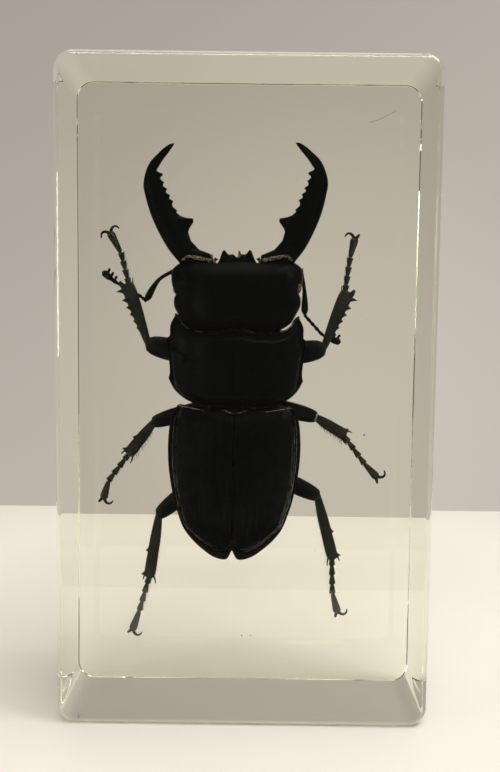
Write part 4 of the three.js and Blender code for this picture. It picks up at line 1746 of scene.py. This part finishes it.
    def _shin(self, shape: Shape) -> None:
        """Adds the shin.

        Args:
            shape: The shape that it is added to.
        """
        length = float(np.linalg.norm(np.array(self.ankle) - np.array(self.knee)))
        end = 1.04
        t = np.linspace(-0.05, end, 150)
        outer, base, inner = self._shin_edges(t, length)
        close = stop(t + 0.055, 0.03) * stop(end + 0.004 - t, 0.03)
        half = Profile((-0.05, 0.35), (0.1, 0.45), (0.5, 0.5), (0.9, 0.62), (1.04, 0.45))(t) * close
        rings = blade(
            self.knee, self.ankle, self.depths[1:3], t, outer * close, inner * close, half, self.side,
            outer_base=base * close, fullness=2.2, sides=22,
        )
        shape.add_rings(rings, 0.72 + 0.28 * ease((t - 0.6) / 0.4))

    def _claws(self, shape: Shape) -> None:
        """Adds the two claws: one hooks in the leg's plane, the other may curl away behind it.

        Args:
            shape: The shape that it is added to.
        """
        for side in Side:
            unit, normal = heading(self.foot, self.toe, side)
            flat = side in self.hooks
            depths = (0, 0, 0.05, 0.1, 0.1) if flat else (0, 0.1, 0.4, 0.9, 1.4)
            course = self.hooked_claw if flat else self.turned_claw
            spots = [np.array(self.toe) + unit * a + normal * b for a, b in course]
            path = bend([(x, self.depths[4] + y, z) for (x, z), y in zip(spots, depths)], 7)
            shape.add_rings(tube(path, np.linspace(0.34, 0.11, len(path)), 10), 0.8)

    def _spurs(self, shape: Shape) -> None:
        """Adds the spurs that point on from the shin's end.

        Args:
            shape: The shape that it is added to.
        """
        unit, outward = heading(self.knee, self.ankle, self.side)
        front = self.pair is LegPair.FRONT
        for across, out, reach, thick in self.front_spurs if front else self.spurs:
            base = np.array(self.ankle) - unit * 0.25 + outward * across
            tip = base + unit * reach + outward * (out - across * 0.2)
            middle = (base + tip) / 2 + outward * out * 0.15
            path = bend([(x, self.depths[2], z) for x, z in (base, middle, tip)], 8)
            shape.add_rings(tube(path, np.linspace(thick, 0.36 * thick, len(path)), 8), 1.0)

    def _foot(self) -> None:
        """Makes the five small joints, each a bell that holds the next."""
        unit, _ = heading(self.knee, self.ankle, self.side)
        start, foot, toe = np.array(self.ankle) - unit * 0.4, np.array(self.foot), np.array(self.toe)
        stops = [lerp(start, foot, k / 4) for k in range(5)] + [toe + (toe - foot) * 0.05]
        points, aims, sizes = [], [], []
        for a, b, wide, lap in zip(stops, stops[1:], self.bell_widths, self.bell_laps):
            length = np.linalg.norm(b - a)
            aim = (b - a) / length
            points.append((a[0], self.depths[3], a[1]))
            aims.append((aim[0], 0.0, aim[1]))
            sizes.append((wide, wide, float(length) + lap))
        guide = (np.array(points), np.array(aims), np.array(sizes))
        Repeats(Unit.BELL).build(f"foot_{self.name}", *guide, BEETLE_FRAME, FOOT)

    def _bristles(self) -> None:
        """Makes the bristles along the shin's inner edge and under the foot."""
        knee, ankle, foot = np.array(self.knee), np.array(self.ankle), np.array(self.foot)
        unit, outward = heading(knee, ankle, self.side)
        shin = [lerp(knee, ankle, t) - outward * (0.62 + 0.12 * t) for t in np.linspace(0.2, 0.98, 26)]
        sole = [lerp(ankle, foot, t) - outward * 0.35 for t in np.linspace(0.15, 1.0, 14)]
        points = np.array([(x, self.depths[2] + 0.15, z) for x, z in (*shin, *sole)])
        aim = unit * 0.65 - outward * 0.75
        aims = np.tile([aim[0], 0.25, aim[1]], (len(points), 1))
        long = self.bristle_length[self.pair]
        lengths = np.concatenate([np.linspace(0.7, 1, len(shin)) * long, np.full(len(sole), 0.6)])
        sizes = np.stack([np.full(len(points), 0.05), np.full(len(points), 0.05), lengths], axis=1)
        Repeats(Unit.BRISTLE, stray=0.3, seed=11).build(
            f"bristles_{self.name}", points, aims, sizes, BEETLE_FRAME, HAIR
        )

    def build(self) -> None:
        """Makes the whole leg."""
        shape = Shape()
        for part in (self._thigh, self._shin, self._claws, self._spurs):
            part(shape)
        hip = (self.root[0], self.depths[0] - 0.5, self.root[1])
        shape.add_rings(ball(hip, self.hip_size), 0.3)
        make_piece(f"limb_{self.name}", shape, BEETLE_FRAME, LIMB, (f"leg_{self.name}",))
        self._foot()
        self._bristles()


LEFT, RIGHT = Side.LEFT, Side.RIGHT
LEGS = (
    Leg(LegPair.FRONT, LEFT, (-4.5, 7.8), (-15.5, 10.4), (-19, 20.6),
        (-20.4, 26), (-22.3, 29.4), (LEFT, RIGHT)),
    Leg(LegPair.FRONT, RIGHT, (4.5, 8.2), (15.2, 10.3), (18.7, 20.1),
        (19.3, 26.1), (20, 29.4), (LEFT,)),
    Leg(LegPair.MIDDLE, LEFT, (-4.5, -0.4), (-14.3, -3.4), (-18.6, -9.1),
        (-22.1, -13.9), (-23, -17.1), (RIGHT,)),
    Leg(LegPair.MIDDLE, RIGHT, (4.5, 0.4), (14.2, -1.8), (19.4, -4.9),
        (23, -9.8), (25.3, -12.2), (RIGHT,), 0),
    Leg(LegPair.HIND, LEFT, (-4.2, -12.4), (-13.1, -19.8), (-14.6, -31),
        (-16.3, -37.2), (-17.5, -40.8), (RIGHT,)),
    Leg(LegPair.HIND, RIGHT, (4.2, -11.4), (14.9, -15.8), (17.9, -26.9),
        (18.1, -33.3), (19.1, -36.7), (RIGHT,)),
)
ANTENNAE = (
    Antenna(LEFT, ((-11.1, 10.4), (-13.8, 8.8), (-16, 5.3)), ((-17.4, 6.4), (-21, 8.4), (-23.6, 10.5))),
    Antenna(RIGHT, ((11.0, 10.7), (11.65, 7), (11.75, 2.7)), ((13.4, 0.9), (15.3, -1.0), (18.1, -2.1))),
)


# The studio


@dataclass(frozen=True)
class Lamp:
    """A soft rectangular light.

    Attributes:
        name: The light's name.
        at: Where it stands.
        aim: Where it points.
        size: Its width and height.
        power: Its power in watts.
        colour: Its colour.
    """

    name: str
    at: Triple
    aim: Triple
    size: Pair
    power: float
    colour: Triple

    def build(self) -> None:
        """Hangs the light."""
        data = bpy.data.lights.new(self.name, "AREA")
        data.shape, data.size, data.size_y = "RECTANGLE", self.size[0] * MM, self.size[1] * MM
        data.energy, data.color = self.power, self.colour
        lamp = bpy.data.objects.new(self.name, data)
        lamp.location = Vector(self.at) * MM
        lamp.visible_camera = False
        lamp.rotation_euler = (Vector(self.aim) - Vector(self.at)).to_track_quat("-Z", "Y").to_euler()
        bpy.context.scene.collection.objects.link(lamp)


@dataclass
class Studio:
    """A pale table top, the plain wall's light behind it, soft lights and the camera.

    Attributes:
        table_end: Where the table ends behind the block, along Y.
        table_front: Where it ends in front of the block.
        table_edge: The radius of its rounded edges.
        table_gap: The Z of its top.
        table_half: Half its width.
        table_foot: The Z down to which its ends reach.
        wall_level: How bright the wall is behind the block.
        wall_slant: How its brightness changes along each axis.
        wall_tone: Its colour.
        glow_way: The way in which it is brightest.
        glow_rise: How much brighter it is there.
        dim_side: The share of that light that comes from the camera's side.
        lens: The camera's focal length on a 36 mm long side.
        camera_at: Where the camera stands.
        pitch: How far it looks down, in degrees.
        yaw: How far it is turned to its left, in degrees.
        roll: How far the picture's level lines fall to the right, in degrees.
        lamps: The lights.
    """

    table_end: float = 154.2
    table_front: float = -95.0
    table_edge: float = 12.0
    table_gap: float = -0.04
    table_half: float = 420.0
    table_foot: float = -30.0
    wall_level: float = 0.50
    wall_slant: Triple = (0.134, 0.0, -0.21)
    wall_tone: Triple = (1.0, 0.895, 0.79)
    glow_way: Triple = (0.05, 0.998, -0.03)
    glow_rise: float = 0.075
    dim_side: float = 0.13
    lens: float = 37.93
    camera_at: Triple = (1.06, -146.15, 67.65)
    pitch: float = 4.6
    yaw: float = -0.13
    roll: float = 0.7
    lamps: Sequence[Lamp] = (
        Lamp("window", (340, -100, 600), (0, 0, 20), (360, 280), 2.5, (1.0, 0.98, 0.95)),
        Lamp("ceiling", (20, 140, 760), (0, 60, 0), (700, 600), 2.2, (1.0, 0.96, 0.90)),
        Lamp("front_strip", (30, -330, 560), (0, 0, 40), (420, 110), 1.45, (1.0, 0.97, 0.92)),
        Lamp("left_pane", (-420, -260, 105), (0, 0, 75), (180, 130), 0.8, (1.0, 0.98, 0.94)),
    )

    def _table(self) -> None:
        """Makes the table top with its two rounded edges."""
        gap = self.table_gap
        turns = np.linspace(0, math.pi / 2, 9)
        edge = self.table_edge
        curve = [(edge * (math.sin(a) - 1), gap - edge * (1 - math.cos(a))) for a in turns]
        far = [(self.table_end + y, z) for y, z in curve]
        near = [(self.table_front - y, z) for y, z in curve]
        flat = [(-20, gap), (50, gap)]
        front, end = (self.table_front, self.table_foot), (self.table_end, self.table_foot)
        profile = [front, *near[::-1], *flat, *far, end]
        points = [(x * MM, y * MM, z * MM) for y, z in profile for x in (-self.table_half, self.table_half)]
        faces = [(2 * k, 2 * k + 1, 2 * k + 3, 2 * k + 2) for k in range(len(profile) - 1)]
        mesh = bpy.data.meshes.new("table")
        mesh.from_pydata(points, [], faces)
        mesh.shade_smooth()
        make_object("table", mesh, TABLE.material)

    def _room(self) -> None:
        """Makes the even light of the room: a pale wall behind the block, dim on the camera's side."""
        world = bpy.data.worlds.new("room")
        world.use_nodes = True
        sheet = NodeSheet(world.node_tree)
        way = sheet.add("ShaderNodeTexCoord").outputs["Generated"]
        ahead = sheet.add("ShaderNodeSeparateXYZ", {0: way}).outputs["Y"]
        share = sheet.span(ahead, -0.3, 0.5, self.dim_side, 1.0)
        slant, middle = (
            sheet.add("ShaderNodeVectorMath", {0: way, 1: axis}, operation="DOT_PRODUCT").outputs["Value"]
            for axis in (self.wall_slant, self.glow_way)
        )
        glow = sheet.span(middle, 0.955, 1.0, self.wall_level, self.wall_level + self.glow_rise)
        strength = sheet.reckon("MULTIPLY", sheet.reckon("ADD", slant, glow), share)
        wall = sheet.add("ShaderNodeBackground", {"Color": (*self.wall_tone, 1), "Strength": strength})
        sheet.add("ShaderNodeOutputWorld", {0: wall.outputs[0]})
        bpy.context.scene.world = world

    def _camera(self) -> None:
        """Makes the camera that stands where the photograph was taken."""
        data = bpy.data.cameras.new("photo_camera")
        data.sensor_width, data.lens = 36, self.lens
        data.clip_start, data.clip_end = 0.005, 5
        camera = bpy.data.objects.new("photo_camera", data)
        turn = Matrix.Rotation(math.radians(-self.yaw), 4, "Z")
        turn = turn @ Matrix.Rotation(math.radians(90 - self.pitch), 4, "X")
        turn = turn @ Matrix.Rotation(math.radians(self.roll), 4, "Z")
        camera.matrix_world = Matrix.Translation(Vector(self.camera_at) * MM) @ turn
        bpy.context.scene.collection.objects.link(camera)
        bpy.context.scene.camera = camera

    def build(self) -> None:
        """Makes the stage, the lights and the camera."""
        self._table()
        self._room()
        for lamp in self.lamps:
            lamp.build()
        bpy.context.scene.view_settings.view_transform = "Standard"
        self._camera()


def main() -> None:
    """Builds every piece in order."""
    logging.basicConfig(level=logging.INFO, format="%(name)s %(message)s")
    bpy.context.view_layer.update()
    cases, shield = WingCases(), NeckShield()
    Studio().build()
    ClearBlock().build()
    Inclusions().build()
    cases.build()
    Trunk().build(cases)
    shield.build()
    Folds().build(shield)
    for part in (Head(), Mandibles(), *ANTENNAE, *LEGS):
        part.build()


if __name__ == "__main__":
    main()
